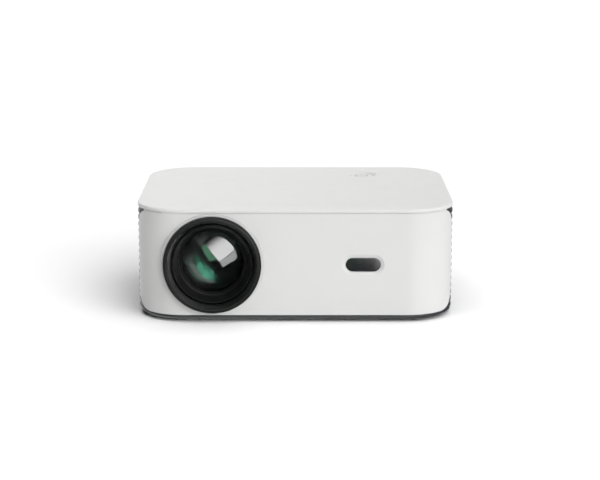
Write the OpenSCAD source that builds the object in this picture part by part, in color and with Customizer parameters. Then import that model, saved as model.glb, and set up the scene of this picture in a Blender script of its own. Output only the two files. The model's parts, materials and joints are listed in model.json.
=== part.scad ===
// A compact home projector: a white cover and front panel over a dark ribbed body, with a manual focus
// ring at the front left, a remote-control window at the front right and a power button on top.
// Units are millimetres. +X is to the viewer's right, +Y runs from the front to the back, +Z is up.
// The origin is on the table under the middle of the whole object.

/* [Body] */
// Width of the top cover, left to right
body_w = 204; // [202:1:210]
// Depth of the top cover, front to back
body_d = 153; // [152:1:158]
// Radius of the four upright corners
corner_r = 31; // [28:1:33]
// Height of the feet under the base
foot_h = 1.5; // [1:0.5:3]
// Height of the front panel
panel_h = 66.2; // [66:0.2:70]
// Thickness of the top cover at its rim
cover_t = 2.3; // [2.2:0.1:3]
// Rounding along the top edge of the cover
cover_round = 1.3; // [0.8:0.1:1.6]

/* [Front panel] */
// How far the panel wraps back round the front corners
panel_wrap = 26; // [24:0.5:28]
// Rounding of the four corners at the panel's ends
panel_end_r = 16.5; // [12:0.5:18]
// Length of the remote-control window
window_l = 22.4; // [20:0.2:26]
// Height of the remote-control window
window_h = 8.9; // [8:0.1:10]
// Width of the sloping edge round the window
window_slope = 2.1; // [1.5:0.1:2.4]
// Distance of the window from the middle of the body
window_x = 43.1; // [38:0.1:46]

/* [Projection lens] */
// Distance of the lens axis from the middle of the body
lens_offset = 52.8; // [52:0.1:54]
// How far the focus ring stands out of the front
lens_proud = 4; // [3.5:0.1:5]
// Outer radius of the focus ring
ring_r = 31.1; // [31:0.05:31.3]
// Number of grip teeth round the focus ring
ring_teeth = 144; // [120:6:156]
// Radius of the lens barrel
barrel_r = 25.7; // [25.6:0.05:25.8]
// Radius of the front lens element
front_glass_r = 20.2; // [19.8:0.1:20.3]
// Travel of the barrel each way from the middle of focus
focus_travel = 1.5; // [1:0.1:1.5]

/* [Power button] */
// Radius of the dish in the cover
dish_r = 10.3; // [9.8:0.1:11]
// Radius of the button
button_r = 7.95; // [7.6:0.05:8]
// Distance of the button from the middle of the body
button_x = 46; // [44:0.5:50]
// Distance of the button from the back edge
button_back = 30; // [28:0.5:34]
// Press travel of the button
button_travel = 0.6; // [0.4:0.1:0.8]

/* [Grilles] */
// Spacing of the side ribs
rib_pitch = 4.5; // [4.4:0.1:4.8]
// Height of one rib
rib_h = 2.2; // [1.8:0.1:2.4]

/* [Hidden] */
$fn = 96;

// Overall frame
front_y = (lens_proud - body_d) / 2;
ring_y = front_y - lens_proud;
rear_y = front_y + body_d;
mid_y = (front_y + rear_y) / 2;
base_t = 2.8;
base_top = foot_h + base_t;
panel_z0 = base_top + 0.2;
panel_z1 = panel_z0 + panel_h;
cover_z0 = panel_z1 + 0.4;
total_h = cover_z0 + cover_t;
lens_x = -lens_offset;
lens_z = (panel_z0 + panel_z1) / 2;
panel_end_y = front_y + panel_wrap;

// Skins and frame, as insets from the outline of the cover
skin_in = 0.4;
skin_t = 2.2;
frame_in = 2.8;
frame_t = 2;
inner_in = frame_in + frame_t;
grille_back_in = 1;
rib_in = 0.3;
rear_half_w = 59.85;
seam = 0.3;

// Focus ring and mount, as distances behind the front of the ring
rim_s = 5.6;
flange_s = 11;
mount_s = 12.4;
skirt_end_s = 24;
pin_s = 18;
pin_r = 1.5;
box_wall_s = 42.5;
barrel_end_s = 50;
glass_s = 14;
middle_glass_r = 15.1;
rear_glass_r = 16.1;
mount_in_r = barrel_r + 0.08;
mount_out_r = barrel_r + 2.6;
ring_bore_r = mount_out_r + 0.08;
panel_hole_r = ring_r + 0.4;
collar_r = ring_r + 1.6;
collar_rise = 0.7;

// Light path
fold_y = 10;
lcd_x = 22;
box_t = 2;
box_h = 56;
box_z0 = lens_z - box_h / 2;
box_front_y = ring_y + box_wall_s;
lcd_bottom = lens_z - 31;

// Main board, upright behind the rear panel: its front face, its rear face, its lower edge
board_y = rear_y - 18.4;
port_y = board_y + 1.6;
board_z0 = 10;
port_l = rear_y - skin_in - skin_t - 0.2 - port_y;

button_y = rear_y - button_back;
button_z = total_h - 1;
window_depth = 1;
window_z = lens_z - 0.2;

white = "whitesmoke";
dark = "dimgray";
black = "#1c1d1e";

// ---------- outlines and solids shared by several pieces ----------

module rounded_rect(w, d, r) {
    square([w - 2 * r, d], center = true);
    square([w, d - 2 * r], center = true);
    for (sx = [-1, 1], sy = [-1, 1])
        translate([sx * (w / 2 - r), sy * (d / 2 - r)]) circle(r);
}

module outline(inset) {
    translate([0, mid_y]) rounded_rect(body_w - 2 * inset, body_d - 2 * inset, corner_r - inset);
}

module wall(inset, t, z0, z1) {
    translate([0, 0, z0]) linear_extrude(z1 - z0) difference() {
        outline(inset);
        outline(inset + t);
    }
}

// A slab whose upper edge is rounded all the way round
module soft_slab(w, d, r, h, f) {
    for (sx = [-1, 1], sy = [-1, 1])
        translate([sx * (w / 2 - r), sy * (d / 2 - r)]) rotate_extrude() {
            square([r, h - f]);
            square([r - f, h]);
            translate([r - f, h - f]) intersection() {
                circle(f);
                square(f);
            }
        }
    rotate([90, 0, 0]) linear_extrude(d - 2 * r, center = true) soft_section(w, h, f);
    rotate([90, 0, 90]) linear_extrude(w - 2 * r, center = true) soft_section(d, h, f);
}

module soft_section(w, h, f) {
    translate([-w / 2, 0]) square([w, h - f]);
    translate([f - w / 2, 0]) square([w - 2 * f, h]);
    for (s = [-1, 1]) translate([s * (w / 2 - f), h - f]) circle(f);
}

// A slab that narrows downwards by c on every side
module chamfer_slab(w, d, r, h, c) {
    for (sx = [-1, 1], sy = [-1, 1])
        translate([sx * (w / 2 - r), sy * (d / 2 - r)]) cylinder(h = h, r1 = r - c, r2 = r);
    rotate([90, 0, 0]) linear_extrude(d - 2 * r, center = true)
        polygon([[-w / 2 + c, 0], [w / 2 - c, 0], [w / 2, h], [-w / 2, h]]);
    rotate([90, 0, 90]) linear_extrude(w - 2 * r, center = true)
        polygon([[-d / 2 + c, 0], [d / 2 - c, 0], [d / 2, h], [-d / 2, h]]);
}

module box(x0, x1, y0, y1, z0, z1) {
    translate([x0, y0, z0]) cube([x1 - x0, y1 - y0, z1 - z0]);
}

module pill(l, h) {
    square([l - h, h], center = true);
    for (s = [-1, 1]) translate([s * (l - h) / 2, 0]) circle(h / 2);
}

// Local +Z becomes +Y, from a point in the lens axis s behind the front of the focus ring
module on_lens_axis(s = 0) {
    translate([lens_x, ring_y + s, lens_z]) rotate([-90, 0, 0]) children();
}

// Local +Z becomes +X, on the axis of the lamp
module on_lamp_axis(x) {
    translate([x, fold_y, lens_z]) rotate([0, 90, 0]) children();
}

module screw(head_r, head_h, shank_r, length) {
    difference() {
        cylinder(h = head_h, r = head_r);
        translate([0, 0, -0.1]) cylinder(h = head_h * 0.6, r = head_r * 0.45, $fn = 6);
    }
    translate([0, 0, head_h]) cylinder(h = length, r = shank_r);
}

// ---------- casing ----------

boss_r = 3.4;
boss_reach = corner_r - inner_in - boss_r + 0.6;
boss_x = body_w / 2 - corner_r + boss_reach * cos(20);
boss_y = body_d / 2 - corner_r + boss_reach * sin(20);
boss_points = [for (sx = [-1, 1], sy = [-1, 1]) [sx * boss_x, mid_y + sy * boss_y]];
post_r = 2.4;
post_offset = 11.8;

module top_cover() {
    color(white) difference() {
        union() {
            translate([0, mid_y, cover_z0]) soft_slab(body_w, body_d, corner_r, cover_t, cover_round);
            // Snap rim that drops inside the frame, in four lengths
            intersection() {
                wall(inner_in + 0.2, 1.4, cover_z0 - 3.2, cover_z0 + 0.5);
                union() {
                    box(-40, 40, front_y, front_y + 12, 0, total_h);
                    box(-40, 40, rear_y - 12, rear_y, 0, total_h);
                    box(-body_w / 2, -body_w / 2 + 12, -20, 30, 0, total_h);
                    box(body_w / 2 - 12, body_w / 2, -20, 30, 0, total_h);
                }
            }
        }
        translate([button_x, button_y, cover_z0 - 1]) cylinder(h = 6, r = button_r + 0.2);
        translate([button_x, button_y, button_z])
            cylinder(h = 1.01, r1 = button_r + 0.2, r2 = dish_r);
    }
    // Posts that hold the button board
    color(white) for (s = [-1, 1])
        translate([button_x, button_y + s * post_offset, button_board_z])
            cylinder(h = cover_z0 + 0.1 - button_board_z, r = post_r);
}

// The panel seen from the side, with rounded ends, made larger all round by grow
module panel_side_profile(grow) {
    far = front_y - 5;
    straight_end = panel_end_y - panel_end_r;
    translate([far, panel_z0 - grow]) square([straight_end - far, panel_h + 2 * grow]);
    translate([far, panel_z0 + panel_end_r])
        square([panel_end_y + grow - far, panel_h - 2 * panel_end_r]);
    for (z = [panel_z0 + panel_end_r, panel_z1 - panel_end_r])
        translate([straight_end, z]) circle(panel_end_r + grow);
}

module panel_side_block(grow) {
    rotate([90, 0, 90]) linear_extrude(body_w, center = true) panel_side_profile(grow);
}

module window_cut(grow, y0, depth) {
    translate([window_x, y0, window_z]) rotate([-90, 0, 0])
        linear_extrude(depth) pill(window_l + grow, window_h + grow);
}

// A pill that widens towards the front, by slope over depth
module window_mouth(y0, depth, slope) {
    half = (window_l - window_h) / 2;
    r = window_h / 2;
    translate([window_x, y0, window_z]) rotate([-90, 0, 0]) {
        for (s = [-1, 1]) translate([s * half, 0, 0])
            cylinder(h = depth, r1 = r + slope, r2 = r);
        rotate([90, 0, 90]) linear_extrude(2 * half, center = true)
            polygon([[-r - slope, 0], [r + slope, 0], [r, depth], [-r, depth]]);
    }
}

module front_panel() {
    collar_s = lens_proud + skin_in - collar_rise;
    collar_end_s = flange_s - 0.8;
    color(white) difference() {
        union() {
            intersection() {
                wall(skin_in, skin_t, panel_z0, panel_z1);
                panel_side_block(0);
            }
            // Raised collar round the focus ring, with a rounded outer edge
            on_lens_axis() rotate_extrude() {
                translate([collar_r - 3, collar_s + collar_rise])
                    square([3, collar_end_s - collar_s - collar_rise]);
                translate([collar_r - 3, collar_s]) square([3 - collar_rise, 2 * collar_rise]);
                translate([collar_r - collar_rise, collar_s + collar_rise]) circle(collar_rise);
            }
        }
        on_lens_axis(lens_proud - 2) cylinder(h = 20, r = panel_hole_r);
        // Seat of the remote-control window, with a sloping edge
        window_cut(0.1, front_y - 1, 6);
        window_mouth(front_y + skin_in - 0.01, window_depth, window_slope);
    }
}

module remote_window() {
    color(black) window_cut(-0.05, front_y + skin_in + window_depth + 0.05, skin_t - window_depth + 0.3);
}

rib_z0 = base_top + 3.7;
rib_count = floor((panel_z1 - rib_h - rib_z0) / rib_pitch) + 1;
slot_gap_h = rib_pitch - rib_h;

// One side of the ribbed body, from the front panel round the rear corner
module grille(side) {
    inner = side > 0 ? rear_half_w + seam : -body_w;
    outer = side > 0 ? body_w : -rear_half_w - seam;
    color(dark) difference() {
        intersection() {
            union() {
                wall(grille_back_in, frame_in - 0.2 - grille_back_in, panel_z0, panel_z1);
                wall(rib_in, 1.3, panel_z0, rib_z0 - slot_gap_h);
                for (i = [0:rib_count - 1])
                    wall(rib_in, 1.3, rib_z0 + i * rib_pitch, rib_z0 + i * rib_pitch + rib_h);
            }
            box(inner, outer, panel_end_y - panel_end_r + 1, rear_y + 1, 0, total_h);
        }
        panel_side_block(seam);
        // Air slots between the ribs, in three columns
        for (i = [1:rib_count - 3], c = [-1, 0, 1])
            translate([side * (body_w / 2 - 2), fold_y + c * 27 - 12, rib_z0 + i * rib_pitch + rib_h])
                translate([-4, 0, 0.1]) cube([8, 24, slot_gap_h - 0.2]);
    }
}

port_z = 24;
hdmi_x = -34;
usb_x = [-10, 8];
audio_x = 24;
av_x = 36;
inlet_x = 50;
inlet_z = 24;

module port_cuts(y0, depth) {
    translate([0, y0, 0]) rotate([-90, 0, 0]) linear_extrude(depth) {
        translate([hdmi_x, -port_z]) square([16, 6.6], center = true);
        for (x = usb_x) translate([x, -port_z]) square([14.4, 7], center = true);
        translate([audio_x, -port_z]) circle(3.6);
        translate([av_x, -port_z]) circle(3.6);
        translate([inlet_x, -inlet_z]) pill(17.6, 10.6);
    }
}

module rear_panel() {
    color(dark) difference() {
        intersection() {
            wall(skin_in, skin_t, panel_z0, panel_z1);
            box(-rear_half_w, rear_half_w, mid_y, rear_y + 1, 0, total_h);
        }
        port_cuts(rear_y - 5, 10);
        // Upper air slots
        for (i = [0:4], c = [-1.5, -0.5, 0.5, 1.5])
            translate([c * 24 - 10, rear_y - 5, 42 + i * rib_pitch]) cube([20, 10, slot_gap_h]);
    }
}

module chassis_frame() {
    color(black) difference() {
        union() {
            wall(frame_in, frame_t, base_top, cover_z0 - 0.2);
            // Screw bosses for the base
            intersection() {
                for (p = boss_points)
                    translate([p[0], p[1], base_top]) cylinder(h = 14, r = boss_r);
                translate([0, 0, base_top]) linear_extrude(20) outline(frame_in);
            }
        }
        for (p = boss_points) translate([p[0], p[1], base_top - 0.5]) cylinder(h = 9, r = 1.25);
        // Front windows, for the lens and for the remote-control window
        on_lens_axis(-5) cylinder(h = 30, r = ring_r + 1.9);
        window_cut(1.2, front_y - 5, 20);
        // Side windows for the air, and a rear one for the sockets
        for (s = [-1, 1])
            translate([s * body_w / 2, fold_y, lens_z]) cube([20, 84, 54], center = true);
        box(-59, 59, rear_y - 8, rear_y + 1, 13, 64);
    }
}

speaker_x = 59;
speaker_y = -46;
speaker_r = 18;
foot_x = 80;
foot_y = [front_y + 17, rear_y - 17];
tripod_y = 4;
tripod_r = 3.175;
tripod_boss_h = 3;
tripod_depth = 6.3;

// Posts on the base under the light box, display, heat sink, fans and main board: x, y, top
support_posts = [
    [-74, -31, box_z0], [-20, -31, box_z0], [2, 50, box_z0], [21, -34, lcd_bottom],
    [21, 50, lcd_bottom], [69, -14, lens_z - 28], [69, 34, lens_z - 28], [89, -14, lens_z - 30],
    [89, 34, lens_z - 30], [-89, 2, lens_z - 25], [-89, 38, lens_z - 25],
    [-30, port_y - 0.8, board_z0], [50, port_y - 0.8, board_z0]
];

module feet_places() {
    for (x = [-foot_x, foot_x], y = foot_y) translate([x, y]) children();
}

module base_plate() {
    color(dark) difference() {
        union() {
            translate([0, mid_y, foot_h]) chamfer_slab(
                body_w - 1.6, body_d - 1.6, corner_r - 0.8, 1.4, 2.4);
            translate([0, 0, foot_h + 1.4]) linear_extrude(base_t - 1.4) outline(0.8);
            // Rim that locates the frame, clear of its bosses
            difference() {
                wall(inner_in + 0.2, 1.4, base_top - 0.1, base_top + 2);
                for (p = boss_points) translate([p[0], p[1], 0]) cylinder(h = 20, r = boss_r + 0.5);
                on_lens_axis() cylinder(h = 30, r = ring_r + 2);
            }
            translate([0, tripod_y, base_top - 0.1]) cylinder(h = tripod_boss_h + 0.1, r = 8);
            for (p = support_posts) translate([p[0], p[1], base_top - 0.1])
                cylinder(h = p[2] - base_top + 0.05, r = 3);
        }
        feet_places() translate([0, 0, foot_h - 1]) cylinder(h = 2, r = 7.1);
        translate([0, tripod_y, foot_h - 0.5]) cylinder(h = 12, r = 4.8);
        // Countersunk places for the screws
        for (p = boss_points) translate([p[0], p[1], foot_h - 0.5]) {
            cylinder(h = 2.2, r = 2.9);
            cylinder(h = 10, r = 1.7);
        }
        // Speaker openings, in three rings round a middle one
        translate([speaker_x, speaker_y, foot_h - 1]) {
            cylinder(h = 10, r = 1.2, $fn = 24);
            for (ring = [1:3], k = [0:ring * 6 - 1])
                rotate(k * 60 / ring) translate([ring * 4.4, 0, 0]) cylinder(h = 10, r = 1.2, $fn = 24);
        }
        // Air intake slots under the lamp end
        for (i = [0:7]) translate([28 + i * 5, 18, foot_h - 1]) cube([2.4, 34, 10]);
    }
}

module rubber_feet() {
    color(black) feet_places() {
        cylinder(h = 0.6, r1 = 5.9, r2 = 6.5);
        translate([0, 0, 0.6]) cylinder(h = foot_h + 1 - 0.6, r = 6.5);
    }
}

module base_screws() {
    color("silver") for (p = boss_points)
        translate([p[0], p[1], foot_h + 0.1]) screw(2.8, 1.5, 1.2, 7);
}

// Brass sleeve with a flange over the boss and a blind threaded hole that opens downwards
module tripod_insert() {
    color("goldenrod") translate([0, tripod_y, foot_h]) difference() {
        union() {
            cylinder(h = base_t + tripod_boss_h + 0.1, r = 4.75);
            translate([0, 0, base_t + tripod_boss_h + 0.05]) cylinder(h = 1.8, r = 7);
        }
        translate([0, 0, -1]) cylinder(h = tripod_depth + 1, r = tripod_r);
    }
}

// ---------- power button ----------

flange_top = cover_z0 - 0.15;
flange_h = 1;
plunger_top = flange_top - flange_h - 0.8;
switch_h = 3.6;
plunger_h = 2.4;
button_board_z = plunger_top - button_travel - 0.4 - switch_h;
button_board_t = 1.2;
mark_r = 4.2;
mark_w = 0.6;

module power_button() {
    color(white) translate([button_x, button_y, 0]) {
        difference() {
            union() {
                translate([0, 0, flange_top - 0.1])
                    cylinder(h = button_z - flange_top + 0.1, r = button_r);
                translate([0, 0, flange_top - flange_h]) cylinder(h = flange_h, r = button_r + 1.2);
                translate([0, 0, plunger_top]) cylinder(h = flange_top - plunger_top - 0.5, r = 2.2);
            }
            // Engraved power mark: an open ring and a bar
            translate([0, 0, button_z - 0.25]) {
                rotate([0, 0, 120]) rotate_extrude(angle = 300)
                    translate([mark_r - mark_w / 2, 0]) square([mark_w, 1]);
                translate([-mark_w / 2, 1.8, 0]) cube([mark_w, 3.4, 1]);
            }
        }
    }
}

module switch_plunger() {
    color(black) translate([button_x, button_y, plunger_top - plunger_h])
        cylinder(h = plunger_h, r = 1.7);
}

module button_switch() {
    color("silver") translate([button_x, button_y, button_board_z]) difference() {
        translate([-3, -3, 0]) cube([6, 6, switch_h]);
        translate([0, 0, switch_h - plunger_h]) cylinder(h = 10, r = 1.9);
    }
}

module button_board() {
    color("darkgreen") translate([button_x, button_y, button_board_z - button_board_t])
        translate([-8, -14, 0]) cube([16, 28, button_board_t]);
}

// ---------- projection lens ----------

function toothed(r, depth, n) = [
    for (i = [0:n - 1], j = [0:3])
        let (a = (i + [0, 0.3, 0.5, 0.8][j]) * 360 / n, q = j < 2 ? r : r - depth)
        [q * cos(a), q * sin(a)]
];

lip_r = 1.6;
lip_end_s = 2;
groove_half = pin_r + focus_travel + 0.2;

module focus_ring() {
    inner_r = barrel_r + 0.7;
    groove_r = mount_out_r + 1.5;
    color(black) on_lens_axis() difference() {
        union() {
            // Rounded lip, grip teeth, the flange behind the panel and the skirt that turns on the mount
            rotate_extrude() {
                square([ring_r - lip_r, lip_end_s]);
                translate([0, lip_r]) square([ring_r, lip_end_s - lip_r]);
                translate([ring_r - lip_r, lip_r]) intersection() {
                    circle(lip_r);
                    translate([0, -lip_r]) square(lip_r);
                }
            }
            translate([0, 0, lip_end_s - 0.1]) linear_extrude(flange_s - lip_end_s + 0.2)
                polygon(toothed(ring_r - 0.05, 0.35, ring_teeth));
            translate([0, 0, flange_s]) cylinder(h = 1.2, r = ring_r + 1.3);
            translate([0, 0, flange_s + 1]) cylinder(h = skirt_end_s - flange_s - 1, r = ring_r);
        }
        // Sloping mouth, bore, and the groove that drives the guide pins
        rotate_extrude() polygon([
            [0, -1], [ring_r - 2.6, -1], [ring_r - 2.6, 0], [inner_r, rim_s], [inner_r, mount_s - 0.2],
            [ring_bore_r, mount_s - 0.2], [ring_bore_r, pin_s - groove_half], [groove_r, pin_s - groove_half],
            [groove_r, pin_s + groove_half], [ring_bore_r, pin_s + groove_half],
            [ring_bore_r, skirt_end_s + 1], [0, skirt_end_s + 1]
        ]);
    }
}

module lens_barrel() {
    rim_in_r = barrel_r - 0.8;
    waist_r = 18.6;
    throat_r = front_glass_r + 0.15;
    color(black) on_lens_axis() difference() {
        rotate_extrude() polygon([
            [rim_in_r, rim_s], [barrel_r - 0.4, rim_s], [barrel_r, rim_s + 0.4],
            [barrel_r, 27], [waist_r, 27], [waist_r, 46], [barrel_r, 46],
            [barrel_r, barrel_end_s], [rear_glass_r + 0.1, barrel_end_s], [rear_glass_r + 0.1, 39.5],
            [middle_glass_r + 0.1, 39.5], [middle_glass_r + 0.1, 24], [throat_r - 1, 24],
            [throat_r - 1, glass_s + 2.42], [throat_r, glass_s + 2.42], [throat_r, glass_s - 0.6],
            [21.6, glass_s - 0.6], [21.6, glass_s - 2.4], [22, glass_s - 2.4]
        ]);
        for (k = [0:2]) rotate([0, 0, 90 + k * 120])
            translate([barrel_r - 3, 0, pin_s]) rotate([0, 90, 0]) cylinder(h = 6, r = pin_r);
    }
}

// Baffle ring that clamps the front element
module lens_retainer() {
    color(black) on_lens_axis() rotate_extrude() polygon([
        [21.5, glass_s - 2.5], [21.5, glass_s - 0.7], [front_glass_r - 0.4, glass_s - 0.7],
        [front_glass_r - 0.1, glass_s - 1.5]
    ]);
}

module guide_pins() {
    color("silver") on_lens_axis() for (k = [0:2]) rotate([0, 0, 90 + k * 120])
        translate([barrel_r - 2.9, 0, pin_s]) rotate([0, 90, 0])
            cylinder(h = mount_out_r + 1.2 - (barrel_r - 2.9), r = pin_r - 0.05);
}

// A lens with two spherical faces, its rim from z = 0 to edge, radii of curvature r1 and r2
module glass(radius, edge, r1, r2) {
    h1 = sqrt(r1 * r1 - radius * radius);
    h2 = sqrt(r2 * r2 - radius * radius);
    intersection() {
        translate([0, 0, -20]) cylinder(h = 40 + edge, r = radius);
        translate([0, 0, h1]) sphere(r1);
        translate([0, 0, edge - h2]) sphere(r2);
    }
}

module front_lens() {
    color("lightcyan", 0.4) on_lens_axis(glass_s) glass(front_glass_r, 2.2, 36, 90);
}

module middle_lens() {
    color("lightcyan", 0.4) on_lens_axis() rotate_extrude() polygon([
        [0, 27], [middle_glass_r, 25], [middle_glass_r, 32.2], [0, 30]
    ]);
}

module rear_lens() {
    color("lightcyan", 0.4) on_lens_axis(40.4) glass(rear_glass_r, 3, 60, 45);
}

module lens_mount() {
    color(black) on_lens_axis() difference() {
        union() {
            translate([0, 0, mount_s]) cylinder(h = box_wall_s - mount_s, r = mount_out_r);
            translate([0, 0, skirt_end_s + 0.2]) cylinder(h = 2, r = ring_r);
            translate([0, 0, box_wall_s - 3]) linear_extrude(3) rounded_rect(58, 54, 6);
        }
        cylinder(h = 60, r = mount_in_r);
        // Straight slots for the guide pins
        for (k = [0:2]) rotate([0, 0, 90 + k * 120])
            translate([mount_in_r - 3, -pin_r - 0.1, pin_s - pin_r - focus_travel - 0.1])
                cube([8, 2 * pin_r + 0.2, 2 * (pin_r + focus_travel + 0.1)]);
        mount_screw_places() translate([0, 0, box_wall_s - 5]) cylinder(h = 10, r = 1.3);
    }
}

module mount_screw_places() {
    for (sx = [-1, 1], sy = [-1, 1]) translate([sx * 25.6, sy * 23.6]) children();
}

module lens_mount_screws() {
    color("silver") on_lens_axis(box_wall_s - 3 - 1.5) mount_screw_places() screw(2, 1.45, 1.2, 5.4);
}

// ---------- light path ----------

box_plan = [
    [lens_x - 32, box_front_y], [lcd_x - 12, box_front_y], [lcd_x - 12, fold_y + 46],
    [lens_x + 39, fold_y + 46], [lens_x - 39, fold_y - 32]
];

module light_box() {
    color(black) difference() {
        translate([0, 0, box_z0]) linear_extrude(box_h - 2) polygon(box_plan);
        translate([0, 0, box_z0 + box_t]) linear_extrude(box_h) offset(delta = -box_t) polygon(box_plan);
        // Mouth for the lens, opening towards the display
        on_lens_axis(box_wall_s - 1) cylinder(h = box_t + 2, r = mount_in_r);
        on_lens_axis(box_wall_s - 1) mount_screw_places() cylinder(h = 4, r = 1.25);
        box(lcd_x - 16, lcd_x - 10, fold_y - 43.5, fold_y + 43.5, lens_z - 25, lens_z + 25);
    }
}

module light_box_lid() {
    color(black) difference() {
        translate([0, 0, box_z0 + box_h - 2]) linear_extrude(2) polygon(box_plan);
        lid_screw_places() translate([0, 0, box_z0 + box_h - 5]) cylinder(h = 10, r = 1.3);
    }
}

// Places over corner posts outside the walls of the light box
module lid_screw_places() {
    for (p = [[lcd_x - 16, box_front_y + 5], [lcd_x - 16, fold_y + 41.5], [lens_x - 27, box_front_y + 5]])
        translate([p[0], p[1], 0]) children();
}

module light_box_screws() {
    color("silver") lid_screw_places()
        translate([0, 0, box_z0 + box_h + 1.3]) mirror([0, 0, 1]) screw(2, 1.25, 1.2, 3);
}

module fold_mirror() {
    color("silver") translate([lens_x, fold_y, lens_z]) rotate([0, 0, 45])
        translate([-39, 0.1, -25.5]) cube([78, 2.6, 51]);
}

module optic_sheet(x, t, w, h) {
    box(x, x + t, fold_y - w / 2, fold_y + w / 2, lens_z - h / 2, lens_z + h / 2);
}

module lcd_frame() {
    color(black) difference() {
        box(lcd_x - 11.8, lcd_x + 11, fold_y - 48.5, fold_y + 48.5, lcd_bottom, lens_z + 30.5);
        box(lcd_x - 20, lcd_x + 20, fold_y - 43, fold_y + 43, lens_z - 25, lens_z + 25);
        // Grooves for the two Fresnel sheets and the display
        for (g = [[-8.1, 2.2], [-0.1, 2.8], [6.9, 2.2]])
            optic_sheet(lcd_x + g[0], g[1], 94.2, 56.2);
        // Way out for the display's ribbon
        box(lcd_x + 0.6, lcd_x + 2, ribbon_y - 0.5, ribbon_y + ribbon_w + 0.5, lens_z + 28, lens_z + 40);
    }
}

module exit_fresnel() { color("lightcyan", 0.4) optic_sheet(lcd_x - 8, 2, 94, 56); }
module lcd_panel() { color("slategray") optic_sheet(lcd_x, 2.6, 94, 56); }
module entry_fresnel() { color("lightcyan", 0.4) optic_sheet(lcd_x + 7, 2, 94, 56); }

reflector_x0 = lcd_x + 11.2;
reflector_l = 22;
led_x = reflector_x0 + reflector_l + 3.4;

module heat_glass() {
    color("lightcyan", 0.4) optic_sheet(reflector_x0 + reflector_l + 0.1, 1.1, 30, 30);
}

// Four sloping walls that widen from the lamp to the display
module lamp_reflector() {
    module funnel(grow, extra) {
        hull() {
            optic_sheet(reflector_x0 - extra, 0.01, 86 + 2 * grow, 50 + 2 * grow);
            optic_sheet(reflector_x0 + reflector_l - 0.01 + extra, 0.01, 30 + 2 * grow, 30 + 2 * grow);
        }
    }
    color("silver") difference() {
        funnel(1.6, 0);
        funnel(0, 0.005);
    }
}

module condenser_lens() {
    color("lightcyan", 0.4) on_lamp_axis(reflector_x0 + reflector_l - 9) intersection() {
        cylinder(h = 9, r = 13);
        translate([0, 0, 15]) sphere(15);
    }
}

module led_module() {
    color("peru") box(led_x, led_x + 2, fold_y - 15, fold_y + 15, lens_z - 15, lens_z + 15);
    color("khaki") box(led_x - 1.6, led_x, fold_y - 8, fold_y + 8, lens_z - 8, lens_z + 8);
}

sink_x = led_x + 2.1;
sink_base = 4;
fan_t = 15;
fan_x = body_w / 2 - inner_in - 0.3 - fan_t;
sink_fin_l = fan_x - sink_x - sink_base - 0.4;

module heat_sink() {
    color("lightgray") {
        box(sink_x, sink_x + sink_base, fold_y - 29, fold_y + 29, lens_z - 28, lens_z + 28);
        for (i = [0:14])
            translate([sink_x + sink_base, fold_y - 28.6 + i * 4, lens_z - 28]) cube([sink_fin_l, 1.2, 56]);
    }
}

// ---------- fans ----------

// Square fan frame with its mouth along +Z, size across, t deep
module fan_frame(size, t) {
    bore = size / 2 - 1.5;
    difference() {
        translate([0, 0, t / 2]) cube([size, size, t], center = true);
        translate([0, 0, -1]) cylinder(h = t + 2, r = bore);
        for (sx = [-1, 1], sy = [-1, 1])
            translate([sx * (size / 2 - 4), sy * (size / 2 - 4), -1]) cylinder(h = t + 2, r = 1.6);
    }
    difference() {
        union() {
            cylinder(h = 1.5, r = size * 0.17);
            for (k = [0:2]) rotate(k * 120 + 30)
                translate([0, -1.2, 0]) cube([bore + 0.5, 2.4, 1.5]);
            cylinder(h = t * 0.55, r = 3);
        }
        translate([0, 0, -1]) cylinder(h = t, r = 1.55);
    }
}

// Rotor with a hub cap, a shaft and sloping blades
module fan_rotor(size, t) {
    hub = size * 0.2;
    tip = size / 2 - 2.4;
    difference() {
        translate([0, 0, 2.2]) cylinder(h = t - 3, r = hub);
        translate([0, 0, 2]) cylinder(h = t - 4.2, r = hub - 1.4);
    }
    translate([0, 0, 0.3]) cylinder(h = t - 2, r = 1.5);
    intersection() {
        for (k = [0:6]) rotate(k * 360 / 7)
            translate([hub - 0.6, 0, t / 2 + 0.5]) rotate([38, 0, 0])
                translate([0, -t * 0.55, -0.6]) cube([tip, t * 1.1, 1.2]);
        difference() {
            translate([0, 0, 2.4]) cylinder(h = t - 3.4, r = tip);
            cylinder(h = t, r = hub - 0.7);
        }
    }
}

intake_fan = 50;
intake_fan_t = 10;
intake_x = -body_w / 2 + inner_in + 3.2;
intake_y = 20;

module exhaust_fan_frame() {
    color(black) on_lamp_axis(fan_x) fan_frame(60, fan_t);
}
module exhaust_fan_rotor() {
    color(dark) on_lamp_axis(fan_x) fan_rotor(60, fan_t);
}
module intake_fan_frame() {
    color(black) translate([intake_x, intake_y, lens_z]) rotate([0, 90, 0])
        fan_frame(intake_fan, intake_fan_t);
}
module intake_fan_rotor() {
    color(dark) translate([intake_x, intake_y, lens_z]) rotate([0, 90, 0])
        fan_rotor(intake_fan, intake_fan_t);
}
module intake_filter() {
    color("darkslategray")
        box(intake_x - 2.6, intake_x - 0.4, intake_y - 26, intake_y + 26, lens_z - 26, lens_z + 26);
}

// ---------- electronics ----------

module main_board() {
    color("darkgreen") difference() {
        box(-45, 66, board_y, port_y, board_z0, 60);
        for (x = [-41, 62], z = [14, 56])
            translate([x, board_y - 1, z]) rotate([-90, 0, 0]) cylinder(h = 4, r = 1.6);
    }
}

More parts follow.
